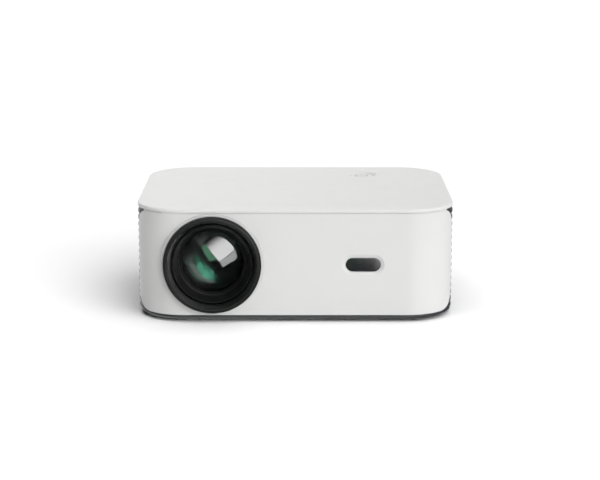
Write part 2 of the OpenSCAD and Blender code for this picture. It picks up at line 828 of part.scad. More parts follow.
module main_board_parts() {
    color(black) {
        box(-12, 6, port_y, port_y + 2, 38, 56);
        for (i = [0:2]) box(14 + i * 14, 25 + i * 14, port_y, port_y + 1.4, 40, 54);
        for (x = [-38, -30, -22]) translate([x, port_y, 48]) rotate([-90, 0, 0]) cylinder(h = 8, r = 3.2);
        box(ribbon_x - 1, ribbon_x + ribbon_w + 1, board_y - 2.4, board_y, 44, 49);
    }
}

// Local +Z becomes +Y, at the board's rear face
module at_port(x, z) {
    translate([x, port_y, z]) rotate([-90, 0, 0]) children();
}

// A metal socket shell with a tongue, w by h across
module socket(w, h, t, tongue_w, tongue_h, tongue_z) {
    difference() {
        translate([0, 0, port_l / 2]) cube([w, h, port_l], center = true);
        translate([0, 0, port_l / 2 + 2]) cube([w - 2 * t, h - 2 * t, port_l], center = true);
    }
    translate([0, tongue_z, port_l / 2]) cube([tongue_w, tongue_h, port_l - 1.6], center = true);
}

module hdmi_socket() { color("silver") at_port(hdmi_x, port_z) socket(15, 5.5, 0.4, 10.5, 1.4, 0.2); }
module usb_sockets() {
    color("silver") for (x = usb_x) at_port(x, port_z) socket(13.1, 5.9, 0.35, 11, 1.7, -1);
}

module round_jack(x) {
    at_port(x, port_z) difference() {
        union() {
            translate([-4, -4, 0]) cube([8, 8, port_l - 2]);
            translate([0, 0, port_l - 2]) cylinder(h = 2, r = 3.4);
        }
        translate([0, 0, 1.5]) cylinder(h = port_l, r = 1.8);
    }
}

module audio_jack() { color(black) round_jack(audio_x); }
module av_jack() { color("gold") round_jack(av_x); }

inlet_l = port_l + skin_t + 0.2 - 0.6;

// Two-pin mains inlet
module power_inlet() {
    color(black) at_port(inlet_x, inlet_z) difference() {
        linear_extrude(inlet_l) pill(17.2, 10.2);
        translate([0, 0, 4]) linear_extrude(inlet_l) pill(14.8, 7.8);
    }
    color("silver") at_port(inlet_x, inlet_z) for (s = [-1, 1])
        translate([s * 4.3, 0, 3.9]) cylinder(h = inlet_l - 6, r = 1.15);
}

power_z = 12;

module power_board() {
    color("darkgreen") box(-8, 38, front_y + 10, front_y + 34, power_z, power_z + 1.6);
    color(black) for (x = [-5, 35], y = [front_y + 13, front_y + 31])
        translate([x, y, base_top + 0.05]) cylinder(h = power_z - base_top - 0.05, r = 2.2);
}

module power_board_parts() {
    top = power_z + 1.6;
    color("gold") box(4, 20, front_y + 14, front_y + 30, top, top + 16);
    color(black) for (y = [front_y + 17, front_y + 27])
        translate([28, y, top]) cylinder(h = 20, r = 4.6);
    color("silver") box(-7, -5, front_y + 12, front_y + 32, top, top + 18);
}

module speaker_frame() {
    color(black) translate([speaker_x, speaker_y, base_top + 0.05]) {
        difference() {
            cylinder(h = 6, r = speaker_r);
            translate([0, 0, -1]) cylinder(h = 6, r = speaker_r - 3);
            translate([0, 0, -1]) cylinder(h = 9, r = 7);
        }
        translate([0, 0, 6]) difference() {
            cylinder(h = 8, r = 12);
            translate([0, 0, -1]) cylinder(h = 7, r = 7);
        }
    }
}

module speaker_cone() {
    color("dimgray") translate([speaker_x, speaker_y, base_top + 1]) {
        difference() {
            cylinder(h = 3.4, r1 = speaker_r - 3.2, r2 = 6.6);
            translate([0, 0, -0.6]) cylinder(h = 3.4, r1 = speaker_r - 3.2, r2 = 6.6);
        }
        translate([0, 0, 3]) cylinder(h = 7, r = 6.6);
    }
}

module remote_sensor_board() {
    y0 = front_y + inner_in + 1.2;
    color("darkgreen") box(window_x - 13, window_x + 13, y0 + 2, y0 + 3.2, window_z - 8, window_z + 8);
    color(black) box(window_x - 3, window_x + 3, y0 - 1.5, y0 + 2, window_z - 3.5, window_z + 3.5);
}

ribbon_w = 20;
ribbon_t = 0.3;
ribbon_x = -12;
ribbon_y = fold_y - 4;
ribbon_z = lens_z + 30.8;

// Flat ribbon from the display, over the light box, folded back and down to the main board
module lcd_ribbon() {
    edge_x = lcd_x + 1.3;
    drop_y = board_y - 1.3;
    color("orange") {
        box(edge_x - ribbon_t / 2, edge_x + ribbon_t / 2, ribbon_y, ribbon_y + ribbon_w,
            lens_z + 28.05, ribbon_z + ribbon_t);
        box(ribbon_x, edge_x + ribbon_t / 2, ribbon_y, ribbon_y + ribbon_w, ribbon_z, ribbon_z + ribbon_t);
        box(ribbon_x, ribbon_x + ribbon_w, ribbon_y, drop_y, ribbon_z + ribbon_t, ribbon_z + 2 * ribbon_t);
        box(ribbon_x, ribbon_x + ribbon_w, drop_y - ribbon_t, drop_y, 49, ribbon_z + 2 * ribbon_t);
    }
}

lead_r = 0.7;
lead_x = reflector_x0 + 2.8;
lead_y = front_y + 38;
lead_z = 8.8;

// Twin lead from the lamp board, under the reflector, to the power board
module led_cable() {
    for (k = [0, 1]) {
        route = [
            [led_x + 1, fold_y + 2 * k, lens_z - 15.05], [led_x + 1, fold_y + 2 * k, lead_z],
            [lead_x - 2 * k, fold_y + 2 * k, lead_z], [lead_x - 2 * k, lead_y, lead_z],
            [lead_x - 2 * k, lead_y, power_z + 0.8], [lead_x - 2 * k, front_y + 34.05, power_z + 0.8]
        ];
        color("firebrick") {
            for (i = [0:len(route) - 2]) lead(route[i], route[i + 1]);
            for (i = [1:len(route) - 2]) translate(route[i]) sphere(lead_r + 0.05);
        }
    }
}

// A straight stretch of lead along one of the axes
module lead(a, b) {
    d = b - a;
    turn = d[0] != 0 ? [0, 90, 0] : (d[1] != 0 ? [-90, 0, 0] : [0, 0, 0]);
    start = d[0] + d[1] + d[2] > 0 ? a : b;
    translate(start) rotate(turn) cylinder(h = norm(d), r = lead_r);
}

top_cover();
front_panel();
grille(-1);  // left_grille
grille(1);  // right_grille
rear_panel();
chassis_frame();
base_plate();
rubber_feet();
base_screws();
tripod_insert();
remote_window();
remote_sensor_board();
power_button();
switch_plunger();
button_switch();
button_board();
focus_ring();
lens_barrel();
front_lens();
lens_retainer();
middle_lens();
rear_lens();
guide_pins();
lens_mount();
lens_mount_screws();
light_box();
light_box_lid();
light_box_screws();
fold_mirror();
exit_fresnel();
lcd_panel();
entry_fresnel();
lcd_frame();
heat_glass();
condenser_lens();
lamp_reflector();
led_module();
heat_sink();
exhaust_fan_frame();
exhaust_fan_rotor();
intake_fan_frame();
intake_fan_rotor();
intake_filter();
main_board();
main_board_parts();
hdmi_socket();
usb_sockets();
audio_jack();
av_jack();
power_inlet();
power_board();
power_board_parts();
speaker_frame();
speaker_cone();
lcd_ribbon();
led_cable();
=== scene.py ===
"""Looks of the home projector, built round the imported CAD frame.

The helpers work in millimetres in the frame's own axes (+X to the viewer's right, +Y to the back, +Z up).
Meshes are scaled to metres as they are made.
"""
import json
import math

import bpy
import numpy as np
from mathutils import Matrix, Vector
from mathutils.geometry import delaunay_2d_cdt


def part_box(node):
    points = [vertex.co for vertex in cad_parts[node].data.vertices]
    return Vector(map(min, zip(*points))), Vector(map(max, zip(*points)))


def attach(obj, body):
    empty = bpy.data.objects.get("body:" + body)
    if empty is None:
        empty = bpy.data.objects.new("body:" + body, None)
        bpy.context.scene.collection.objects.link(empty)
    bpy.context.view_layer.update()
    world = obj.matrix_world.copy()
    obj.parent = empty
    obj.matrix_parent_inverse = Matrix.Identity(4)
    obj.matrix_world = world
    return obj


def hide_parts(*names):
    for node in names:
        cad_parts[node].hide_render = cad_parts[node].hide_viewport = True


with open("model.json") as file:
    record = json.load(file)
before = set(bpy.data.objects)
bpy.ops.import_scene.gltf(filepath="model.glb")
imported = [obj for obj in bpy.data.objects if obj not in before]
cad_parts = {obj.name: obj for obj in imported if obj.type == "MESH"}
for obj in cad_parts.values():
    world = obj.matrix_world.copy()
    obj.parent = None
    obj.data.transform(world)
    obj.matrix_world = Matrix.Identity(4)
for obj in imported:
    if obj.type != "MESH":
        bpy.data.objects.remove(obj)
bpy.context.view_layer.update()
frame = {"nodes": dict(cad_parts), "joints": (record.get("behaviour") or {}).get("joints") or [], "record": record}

MM = 0.001


def box_mm(node):
    """Lowest and highest corner of a CAD node, in millimetres."""
    low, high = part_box(node)
    return low / MM, high / MM


# ---------- sizes taken from the frame ----------

COVER_LOW, COVER_HIGH = box_mm("top_cover")
PANEL_LOW, PANEL_HIGH = box_mm("front_panel")
WINDOW_LOW, WINDOW_HIGH = box_mm("remote_window")
BUTTON_LOW, BUTTON_HIGH = box_mm("power_button")
LENS = Vector(next(j["pos_m"] for j in frame["joints"] if j["name"] == "focus_turn")) / MM

HALF_W = COVER_HIGH.x
HALF_D = (COVER_HIGH.y - COVER_LOW.y) / 2
MID_Y = (COVER_HIGH.y + COVER_LOW.y) / 2
TOP_Z = COVER_HIGH.z
PANEL_Z0, PANEL_Z1 = PANEL_LOW.z, PANEL_HIGH.z
RING_Y = box_mm("focus_ring")[0].y

# ---------- sizes of the casing ----------

CORNER_R = 31.0
SKIN_IN = 0.4
SKIN_T = 2.2
SEAM = 0.3
COVER_T = 2.3
COVER_ROUND = 1.3
PANEL_END_Y = -48.5
PANEL_END_R = 16.5
COLLAR_R = 32.7
COLLAR_S = 3.7
COLLAR_END_S = 10.2
COLLAR_ROUND = 0.25
DISH_R = 10.3
DISH_DEPTH = 1.0
RIB_PITCH = 4.5
RIB_H = 2.2
RIB_Z0 = 8.0
RIB_COUNT = 14
RIB_IN = 0.3
BACK_IN = 1.0
BACK_T = 1.6
REAR_HALF = box_mm("rear_panel")[1].x
BUTTON_X = (BUTTON_LOW.x + BUTTON_HIGH.x) / 2
BUTTON_Y = (BUTTON_LOW.y + BUTTON_HIGH.y) / 2
BUTTON_R = 7.95
WINDOW_X = (WINDOW_LOW.x + WINDOW_HIGH.x) / 2
WINDOW_Z = (WINDOW_LOW.z + WINDOW_HIGH.z) / 2
WINDOW_L = WINDOW_HIGH.x - WINDOW_LOW.x + 0.05
WINDOW_H = WINDOW_HIGH.z - WINDOW_LOW.z + 0.05
WINDOW_SLOPE = 2.1
WINDOW_DEPTH = 1.0

# ---------- fine detail of the casing ----------

COLLAR_FOOT = 0.05
COLLAR_GROOVE = 0.4
COLLAR_BORE = 31.22
LIP_IN = 0.7
LIP_T = 1.2
LIP_UP = 0.32
LIP_DOWN = 0.8
LIP_SHORT = 12.0
SNAP_IN = 5.0
SNAP_T = 1.4
SNAP_DOWN = 3.2
POST_R = 2.4
POST_OUT = 11.8
SLOT_CENTRES = (-17.0, 10.0, 37.0)
SLOT_L = 24.0
RIB_ROUND = 0.55
REAR_SLOT_Z = 42.0
REAR_SLOT_L = 20.0
REAR_SLOT_PITCH = 24.0
USB_W = 13.1
PORTS = (("hdmi_socket", 16.0, 6.6), ("usb_sockets", 14.4, 7.0), ("audio_jack", 7.2, 7.2),
         ("av_jack", 7.2, 7.2), ("power_inlet", 17.6, 10.6))
WINDOW_CROWN = 0.58
STEM_R = 2.2
FLANGE_W = 1.2
MARK_R = 4.2
MARK_W = 0.8
MARK_DEPTH = 0.5
MARK_BAR = 3.4
MARK_BAR_OUT = 3.5

# ---------- sizes of the projection lens; _S is a distance behind the ring's front ----------

RING_R = 31.1
LIP_R = 1.6
TEETH = 144
TOOTH_START = 2.4
TOOTH_DEPTH = 0.4
GRIP_END = 11.0
RING_FLANGE_END = 12.2
RING_END = 24.0
PIN_S = 18.0
GROOVE_HALF = 3.2
RIM_S = 5.6
BARREL_R = 25.7
GLASS_R = 20.2
GLASS_S = 14.0
BAFFLE_R = 21.6
MIDDLE_R = 15.1
MIDDLE_S = 25.0
REAR_R = 16.1
REAR_S = 40.4
WAIST_R = 18.6
WAIST_S = 27.0
WAIST_END = 46.0
BARREL_END = 50.0

# ---------- looks ----------

WAVES = 20  # what turns a pitch into the size that a wave texture takes
# Painted green reflection on the first inner lens: the way and edge of its crescent, its disc, and the depth where
# it stops
PAINTED_GREEN_WAY = (-0.735, 0.0, -0.678)
PAINTED_GREEN_EDGE = 4.9
PAINTED_GREEN_DISC = (4.0, -0.5, 12.3)
PAINTED_GREEN_BACK = 27.6
CAMERA_AT = (3.0, -1128.9, 288.9)
CAMERA_PITCH = 12.57
CAMERA_LENS = 102.6
TOP_WAY = (90, 82)
TOP_EDGE = (0.62, 0.92)
TOP_POWER = 2.05
KEY_WAY = (36, 20)
KEY_EDGE = (0.8, 0.96)
KEY_POWER = 3.75
EDGE_SIZES = {"base_plate": 0.35, "rubber_feet": 0.25, "lcd_ribbon": 0.05, "led_cable": 0.0, "heat_sink": 0.1,
              "usb_sockets": 0.08, "hdmi_socket": 0.08, "base_screws": 0.08, "lens_mount_screws": 0.08,
              "light_box_screws": 0.08, "speaker_cone": 0.1, "intake_fan_rotor": 0.08,
              "exhaust_fan_rotor": 0.08}


# ---------- plain geometry ----------

def arc(centre, radius, start, end, steps):
    """Points along an arc, angles in degrees."""
    angles = [math.radians(start + (end - start) * i / steps) for i in range(steps + 1)]
    return [(centre[0] + radius * math.cos(a), centre[1] + radius * math.sin(a)) for a in angles]


def rounded(corners, steps=5):
    """A closed outline from (x, y, fillet) corners, each rounded by its own fillet."""
    points = []
    count = len(corners)
    for i, (x, y, fillet) in enumerate(corners):
        here = Vector((x, y))
        before = Vector(corners[i - 1][:2]) - here
        after = Vector(corners[(i + 1) % count][:2]) - here
        if fillet <= 0:
            points.append((x, y))
            continue
        half = before.angle(after) / 2
        reach = min(fillet / math.tan(half), 0.49 * before.length, 0.49 * after.length)
        radius = reach * math.tan(half)
        centre = here + (before.normalized() + after.normalized()).normalized() * radius / math.sin(half)
        a = here + before.normalized() * reach - centre
        b = here + after.normalized() * reach - centre
        turn = a.angle_signed(b)
        for k in range(steps + 1):
            spin = Matrix.Rotation(-turn * k / steps, 2)
            points.append(tuple(centre + spin @ a))
    return points


def rounded_box(x0, x1, y0, y1, radius, steps=5):
    return rounded([(x0, y0, radius), (x1, y0, radius), (x1, y1, radius), (x0, y1, radius)], steps)


def circle(x, y, radius, count=48):
    return arc((x, y), radius, 0, 360 * (count - 1) / count, count - 1)


def pill(x, y, length, height, steps=14):
    r = height / 2
    half = (length - height) / 2
    return arc((x + half, y), r, -90, 90, steps) + arc((x - half, y), r, 90, 270, steps)


def resampled(loop, gap):
    """The loop with long edges cut so that none is longer than gap."""
    points = []
    for i, a in enumerate(loop):
        b = loop[(i + 1) % len(loop)]
        cuts = max(1, math.ceil(math.dist(a, b) / gap))
        points += [(a[0] + (b[0] - a[0]) * k / cuts, a[1] + (b[1] - a[1]) * k / cuts) for k in range(cuts)]
    return points


def area_of(loop):
    return sum(loop[i - 1][0] * p[1] - p[0] * loop[i - 1][1] for i, p in enumerate(loop)) / 2


def edge_normals(loop):
    """For each point of an anticlockwise loop, the direction out of it."""
    points = np.array(loop)
    step = np.roll(points, -1, 0) - points
    step = step / np.maximum(np.linalg.norm(step, axis=1, keepdims=True), 1e-9)
    along = step + np.roll(step, 1, 0)
    along = along / np.maximum(np.linalg.norm(along, axis=1, keepdims=True), 1e-9)
    return np.stack([along[:, 1], -along[:, 0]], 1)


def within(points, loops):
    """Which of many points lie inside the first loop and outside the others, by the even-odd rule."""
    x, y = points[:, :1], points[:, 1:]
    inside = []
    for loop in loops:
        p = np.array(loop)
        q = np.roll(p, -1, 0)
        slope = (q[:, 0] - p[:, 0]) / np.where(q[:, 1] == p[:, 1], 1e-12, q[:, 1] - p[:, 1])
        spans = (p[:, 1] > y) != (q[:, 1] > y)
        inside.append((spans & (x < p[:, 0] + (y - p[:, 1]) * slope)).sum(1) % 2 == 1)
    return inside[0] & ~np.any(inside[1:], axis=0)


# ---------- meshes ----------

class Shape:
    """Vertices, faces and the wanted normal of each vertex, gathered before a mesh is made."""

    def __init__(self):
        self.points, self.normals, self.faces = [], [], []

    def ring(self, points, normals):
        first = len(self.points)
        self.points += [tuple(p) for p in points]
        self.normals += [tuple(n) for n in normals]
        return list(range(first, len(self.points)))

    def join(self, a, b, closed=True):
        """Quads between two rings of the same length."""
        for i in range(len(a) if closed else len(a) - 1):
            j = (i + 1) % len(a)
            self.faces.append((a[i], a[j], b[j], b[i]))

    def mirror_x(self):
        self.points = [(-x, y, z) for x, y, z in self.points]
        self.normals = [(-x, y, z) for x, y, z in self.normals]

    def piece(self, name):
        """The object: doubled points joined, every face turned to agree with the wanted normals."""
        points, normals = np.array(self.points), np.array(self.normals)
        normals /= np.maximum(np.linalg.norm(normals, axis=1, keepdims=True), 1e-9)
        _, first, shared = np.unique(np.round(points / 1e-4).astype(np.int64), axis=0,
                                     return_index=True, return_inverse=True)
        shared = shared.ravel().tolist()
        faces, corners = [], []
        for count in sorted({len(face) for face in self.faces}):
            rows = np.array([face for face in self.faces if len(face) == count])
            p = points[rows]
            flat = np.cross(p[:, 1:-1] - p[:, :1], p[:, 2:] - p[:, :1]).sum(1)
            turned = (flat * normals[rows].sum(1)).sum(1) < 0
            rows[turned] = rows[turned, ::-1]
            for row in rows[np.linalg.norm(flat, axis=1) > 1e-7].tolist():
                face = [v for i, v in enumerate(row) if shared[v] != shared[row[i - 1]]]
                if len(face) > 2:
                    faces.append([shared[v] for v in face])
                    corners += face
        mesh = bpy.data.meshes.new(name)
        mesh.from_pydata((points[first] * MM).tolist(), [], faces)
        mesh.polygons.foreach_set("use_smooth", [True] * len(mesh.polygons))
        mesh.normals_split_custom_set(normals[corners].tolist())
        made = bpy.data.objects.new(name, mesh)
        bpy.context.scene.collection.objects.link(made)
        return made


def skin(shape, loops, surface, depth, thick, grid, edge_in=0.2):
    """A plate that lies on a surface, from depth to depth + thick under it.

    loops are (outline, edge radius): the outer edge first, then the holes. surface(u, v) gives the point,
    the normal and the two directions along the surface. The faces are triangulated through grid.
    """
    def at(u, v, d, way=None, tilt=0.0):
        point, normal, du, dv = surface(u, v)
        facing = normal * math.cos(tilt)
        if way is not None:
            facing += (du * way[0] + dv * way[1]) * math.sin(tilt)
        return point - normal * d, facing, normal

    sides = ([], [])
    for i, (loop, edge_r) in enumerate(loops):
        if (area_of(loop) < 0) == (i == 0):
            loop = loop[::-1]
        out, points = edge_normals(loop), np.array(loop)
        rings = []
        for side, radius in ((0, edge_r), (1, edge_in)):
            steps = (6 if radius > 0.5 else 3) if radius > 0 else 1
            turned = []
            for k in range(steps + 1):
                a = math.pi / 2 * k / steps
                shift, sink = radius * (1 - math.sin(a)), radius * (1 - math.cos(a))
                d = depth + sink if side == 0 else depth + thick - sink
                made = [at(*(p - m * shift), d, m, a) for p, m in zip(points, out)]
                back = 2 * math.cos(a) if side else 0.0
                turned.append(shape.ring([w for w, _, _ in made], [f - n * back for _, f, n in made]))
            sides[side].append((points - out * radius, turned[0]))
            rings.append(turned)
        run = rings[0] + rings[1][::-1]
        for a, b in zip(run, run[1:]):
            shape.join(a, b)

    for side, rims in enumerate(sides):
        outlines = [points for points, _ in rims]
        every = np.concatenate(outlines)
        spare = np.array(grid, float).reshape(-1, 2)
        spare = spare[within(spare, outlines)]
        if len(spare):
            spare = spare[np.array([np.abs(every - p).max(1).min() for p in spare]) > 0.7]
        edges, start = [], 0
        for points in outlines:
            edges += [(start + i, start + (i + 1) % len(points)) for i in range(len(points))]
            start += len(points)
        corners = [Vector(p) for p in np.concatenate([every, spare])]
        found, _, faces, origins, _, _ = delaunay_2d_cdt(corners, edges, [], 0, 1e-7)
        rim_ids = [i for _, ids in rims for i in ids]
        ids = []
        for co, origin in zip(found, origins):
            if origin and origin[0] < len(rim_ids):
                ids.append(rim_ids[origin[0]])
            else:
                where, _, normal = at(co[0], co[1], depth + thick * side)
                ids += shape.ring([where], [-normal if side else normal])
        middles = np.array([np.mean([found[i] for i in f], axis=0) for f in faces])
        shape.faces += [tuple(ids[i] for i in f) for f, ok in zip(faces, within(middles, outlines)) if ok]


def sweep(shape, section, count, where, closed=True, smooth=40):
    """A closed section carried along a path of count places.

    where(k, a, b) gives, at place k, the point for section coordinates (a, b) and the directions of a and b.
    """
    turn = 1 if area_of(section) > 0 else -1
    flats = []
    for i, (a0, b0) in enumerate(section):
        a1, b1 = section[(i + 1) % len(section)]
        flats.append(Vector((b1 - b0, a0 - a1)).normalized() * turn)

    def line(i, flat):
        made = [where(k, *section[i]) for k in range(count)]
        return shape.ring([p for p, _, _ in made], [da * flat[0] + db * flat[1] for _, da, db in made])

    for i, mine in enumerate(flats):
        j = (i + 1) % len(section)
        ends = []
        for end, other in ((i, flats[i - 1]), (j, flats[j])):
            soft = mine.length > 0 and other.length > 0 and mine.angle(other) < math.radians(smooth)
            ends.append(line(end, mine + other if soft else mine))
        shape.join(*ends, closed)
    if closed:
        return
    for k, way in ((0, -1), (count - 1, 1)):
        made = [where(k, a, b) for a, b in section]
        facing = made[0][1].cross(made[0][2])
        onward = where(min(k + 1, count - 1), 0, 0)[0] - where(max(k - 1, 0), 0, 0)[0]
        facing = facing * (way if facing.dot(onward) > 0 else -way)
        shape.faces.append(tuple(shape.ring([p for p, _, _ in made], [facing] * len(made))))


def lathe(shape, profile, place, turns, bump=None, smooth=40):
    """A solid of revolution from a closed profile of (radius, distance); place gives each point."""
    centre = place(0, 0, 0)
    axis = place(0, 0, 1) - centre

    def where(k, r, s):
        a = 2 * math.pi * k / turns
        return place(r if bump is None else bump(r, s, a), a, s), place(1, a, 0) - centre, axis

    sweep(shape, profile, turns, where, True, smooth)


class Outline:
    """The rounded rectangle of the casing seen from above.

    s is the distance along it from the middle of the front, positive towards +X.
    """

    def __init__(self, half_w, half_d, mid_y, r):
        self.r, self.mid_y = r, mid_y
        self.flat_x, self.flat_y = half_w - r, half_d - r
        self.quarter = r * math.pi / 2
        self.front = self.flat_x
        self.side = self.front + self.quarter
        self.side_end = self.side + 2 * self.flat_y
        self.back = self.side_end + self.quarter
        self.half_w, self.half_d = half_w, half_d

    def at(self, s):
        """Point and outward normal on the outline."""
        way = 1 if s >= 0 else -1
        d = abs(s)
        if d <= self.front:
            x, y, nx, ny = d, -self.half_d, 0.0, -1.0
        elif d <= self.side:
            a = (d - self.front) / self.r
            nx, ny = math.sin(a), -math.cos(a)
            x, y = self.flat_x + self.r * nx, -self.flat_y + self.r * ny
        elif d <= self.side_end:
            x, y, nx, ny = self.half_w, -self.flat_y + d - self.side, 1.0, 0.0
        elif d <= self.back:
            a = (d - self.side_end) / self.r
            nx, ny = math.cos(a), math.sin(a)
            x, y = self.flat_x + self.r * nx, self.flat_y + self.r * ny
        else:
            x, y, nx, ny = self.flat_x - (d - self.back), self.half_d, 0.0, 1.0
        return way * x, y + self.mid_y, way * nx, ny

    def surface(self, s, z):
        """Point, normal and directions along the upright wall."""
        x, y, nx, ny = self.at(s)
        return Vector((x, y, z)), Vector((nx, ny, 0)), Vector((-ny, nx, 0)), Vector((0, 0, 1))

    def s_of_x(self, x, inset):
        """Where the wall at that inset is met by a line along Y, on the front."""
        if abs(x) <= self.flat_x:
            return x
        a = math.asin(min(1.0, (abs(x) - self.flat_x) / (self.r - inset)))
        return math.copysign(self.flat_x + self.r * a, x)

    def s_of_y(self, y, inset):
        """Where the right wall at that inset is met by a line along X, front corner or side."""
        back = y - self.mid_y + self.flat_y
        if back >= 0:
            return self.side + back
        return self.front + self.r * math.acos(min(1.0, -back / (self.r - inset)))

    def columns(self, s0, s1, corner_step=2.0, flat_step=6.0):
        """Distances between s0 and s1, close together round the corners."""
        marks = [0, self.front, self.side, self.side_end, self.back, self.back + self.flat_x]
        steps = [flat_step, corner_step, flat_step, corner_step, flat_step]
        found = set()
        for lo, hi, step in zip(marks, marks[1:], steps):
            cuts = math.ceil((hi - lo) / step)
            found |= {lo + (hi - lo) * k / cuts for k in range(cuts + 1)}
        found |= {-s for s in found}
        return sorted(s for s in found if s0 < s < s1)


OUTLINE = Outline(HALF_W, HALF_D, MID_Y, CORNER_R)


def level(z):
    """A flat surface at height z that faces up."""
    def surface(x, y):
        return Vector((x, y, z)), Vector((0, 0, 1)), Vector((1, 0, 0)), Vector((0, 1, 0))
    return surface


def lens_place(r, a, s):
    """The point s behind the front of the focus ring and r from the lens axis."""
    return Vector((LENS.x + r * math.cos(a), RING_Y + s, LENS.z + r * math.sin(a)))


def upright(x, y):
    """For lathe: round an upright axis at x, y."""
    def place(r, a, z):
        return Vector((x + r * math.cos(a), y + r * math.sin(a), z))
    return place


def finish_piece(shape, name, body, slot, node):
    """Makes the piece, gives it the slot's material, puts it on its body and hides the CAD node it stands for."""
    piece = shape.piece(name)
    piece.data.materials.append(MATERIALS[slot])
    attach(piece, body)
    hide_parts(node)


# ---------- materials ----------

class Nodes:
    """A node tree under construction."""

    def node(self, kind, **values):
        made = self.tree.nodes.new("ShaderNode" + kind)
        for key, value in values.items():
            setattr(made, key, value)
        return made

    def link(self, a, b):
        self.tree.links.new(a, b)

    def times(self, a, b):
        made = self.node("Math", operation="MULTIPLY")
        self.link(a, made.inputs[0])
        self.link(b, made.inputs[1])
        return made.outputs[0]

    def along(self, vector, way):
        """The part of a vector that lies along way."""
        made = self.node("VectorMath", operation="DOT_PRODUCT")
        made.inputs[1].default_value = way
        self.link(vector, made.inputs[0])
        return made.outputs["Value"]


class Paint(Nodes):
    """A procedural material under construction: one Principled shader and what feeds it."""

    def __init__(self, name, **inputs):
        self.slot = name
        self.material = bpy.data.materials.new(name)
        self.material.use_nodes = True
        self.tree = self.material.node_tree
        self.shader = self.tree.nodes["Principled BSDF"]
        self.place = self.tree.nodes.new("ShaderNodeTexCoord").outputs["Object"]
        for key, value in inputs.items():
            if isinstance(value, tuple):
                value = (*value, 1.0)
            self.shader.inputs[key.replace("_", " ")].default_value = value

    def texture(self, kind, size, place=None, **values):
        """A texture node with features of that size in millimetres."""
        made = self.node("Tex" + kind, **values)
        made.inputs["Scale"].default_value = 1 / (size * MM)
        self.link(place or self.place, made.inputs["Vector"])
        return made

    def noise(self, size, detail=3.0, stretch=(1, 1, 1), roughness=0.5):
        """Noise with features of that size in millimetres."""
        mapping = self.node("Mapping")
        mapping.inputs["Scale"].default_value = stretch
        self.link(self.place, mapping.inputs["Vector"])
        made = self.texture("Noise", size, mapping.outputs["Vector"])
        made.inputs["Detail"].default_value = detail
        made.inputs["Roughness"].default_value = roughness
        return made.outputs["Fac"]

    def spread(self, fac, low, high, start=0.3, end=0.7):
        """fac mapped to run from low to high."""
        made = self.node("MapRange")
        made.inputs["From Min"].default_value = start
        made.inputs["From Max"].default_value = end
        made.inputs["To Min"].default_value = low
        made.inputs["To Max"].default_value = high
        self.link(fac, made.inputs["Value"])
        return made.outputs["Result"]

    def colours(self, fac, *stops, socket="Base Color"):
        """A colour ramp over (position, colour) stops, linked to a socket of the shader."""
        ramp = self.node("ValToRGB")
        elements = ramp.color_ramp.elements
        while len(elements) < len(stops):
            elements.new(0.5)
        for element, (position, colour) in zip(elements, stops):
            element.position = position
            element.color = (*colour, 1.0)
        self.link(fac, ramp.inputs["Fac"])
        self.link(ramp.outputs["Color"], self.shader.inputs[socket])

    def rough(self, fac, low, high):
        self.link(self.spread(fac, low, high), self.shader.inputs["Roughness"])

    def bump(self, height, depth):
        """Bump of that depth in millimetres."""
        made = self.node("Bump")
        made.inputs["Distance"].default_value = depth * MM
        if self.shader.inputs["Normal"].is_linked:
            self.link(self.shader.inputs["Normal"].links[0].from_socket, made.inputs["Normal"])
        self.link(height, made.inputs["Height"])
        self.link(made.outputs["Normal"], self.shader.inputs["Normal"])


def shade(colour, factor):
    return tuple(min(1.0, c * factor) for c in colour)


def moulded(name, colour, rough, grain=0.35, depth=0.006, spread=0.04, **inputs):
    """Moulded plastic: a fine spark grain, faint clouds in the colour and in the gloss."""
    paint = Paint(name, **inputs)
    clouds = paint.noise(34, 2.0)
    paint.colours(clouds, (0.3, shade(colour, 1 - spread)), (0.7, shade(colour, 1 + spread)))
    paint.rough(paint.noise(9, 4.0), rough - 0.04, rough + 0.05)
    paint.bump(paint.noise(grain, 2.0), depth)
    return paint


def metal(name, colour, rough, size=0.6, stretch=(1, 1, 12), depth=0.004, **inputs):
    """Metal with fine draw lines."""
    paint = Paint(name, Metallic=1.0, **inputs)
    lines = paint.noise(size, 3.0, stretch)
    paint.colours(lines, (0.25, shade(colour, 0.86)), (0.75, shade(colour, 1.08)))
    paint.rough(paint.noise(size * 3, 3.0, stretch), rough - 0.06, rough + 0.08)
    paint.bump(lines, depth)
    return paint


def clear_glass(name, ior, haze):
    """Hazy clear glass, with the output that says how far back each point of it is."""
    paint = Paint(name, Base_Color=(1, 1, 1), Transmission_Weight=1.0, IOR=ior)
    paint.link(paint.spread(paint.noise(5, 3.0), 0, haze), paint.shader.inputs["Roughness"])
    place = paint.node("SeparateXYZ")
    paint.link(paint.place, place.inputs[0])
    return paint, place.outputs["Y"]


def front_glass_paint():
    """The front lens: its outer face mirrors fully and its inner face hardly reflects."""
    paint, depth = clear_glass("coated_glass", 1.62, 0.01)
    face_end = (RING_Y + GLASS_S + 0.1) * MM
    tint = paint.spread(depth, 1, 0.01, face_end, face_end + 0.01 * MM)
    paint.link(tint, paint.shader.inputs["Specular Tint"])
    return paint


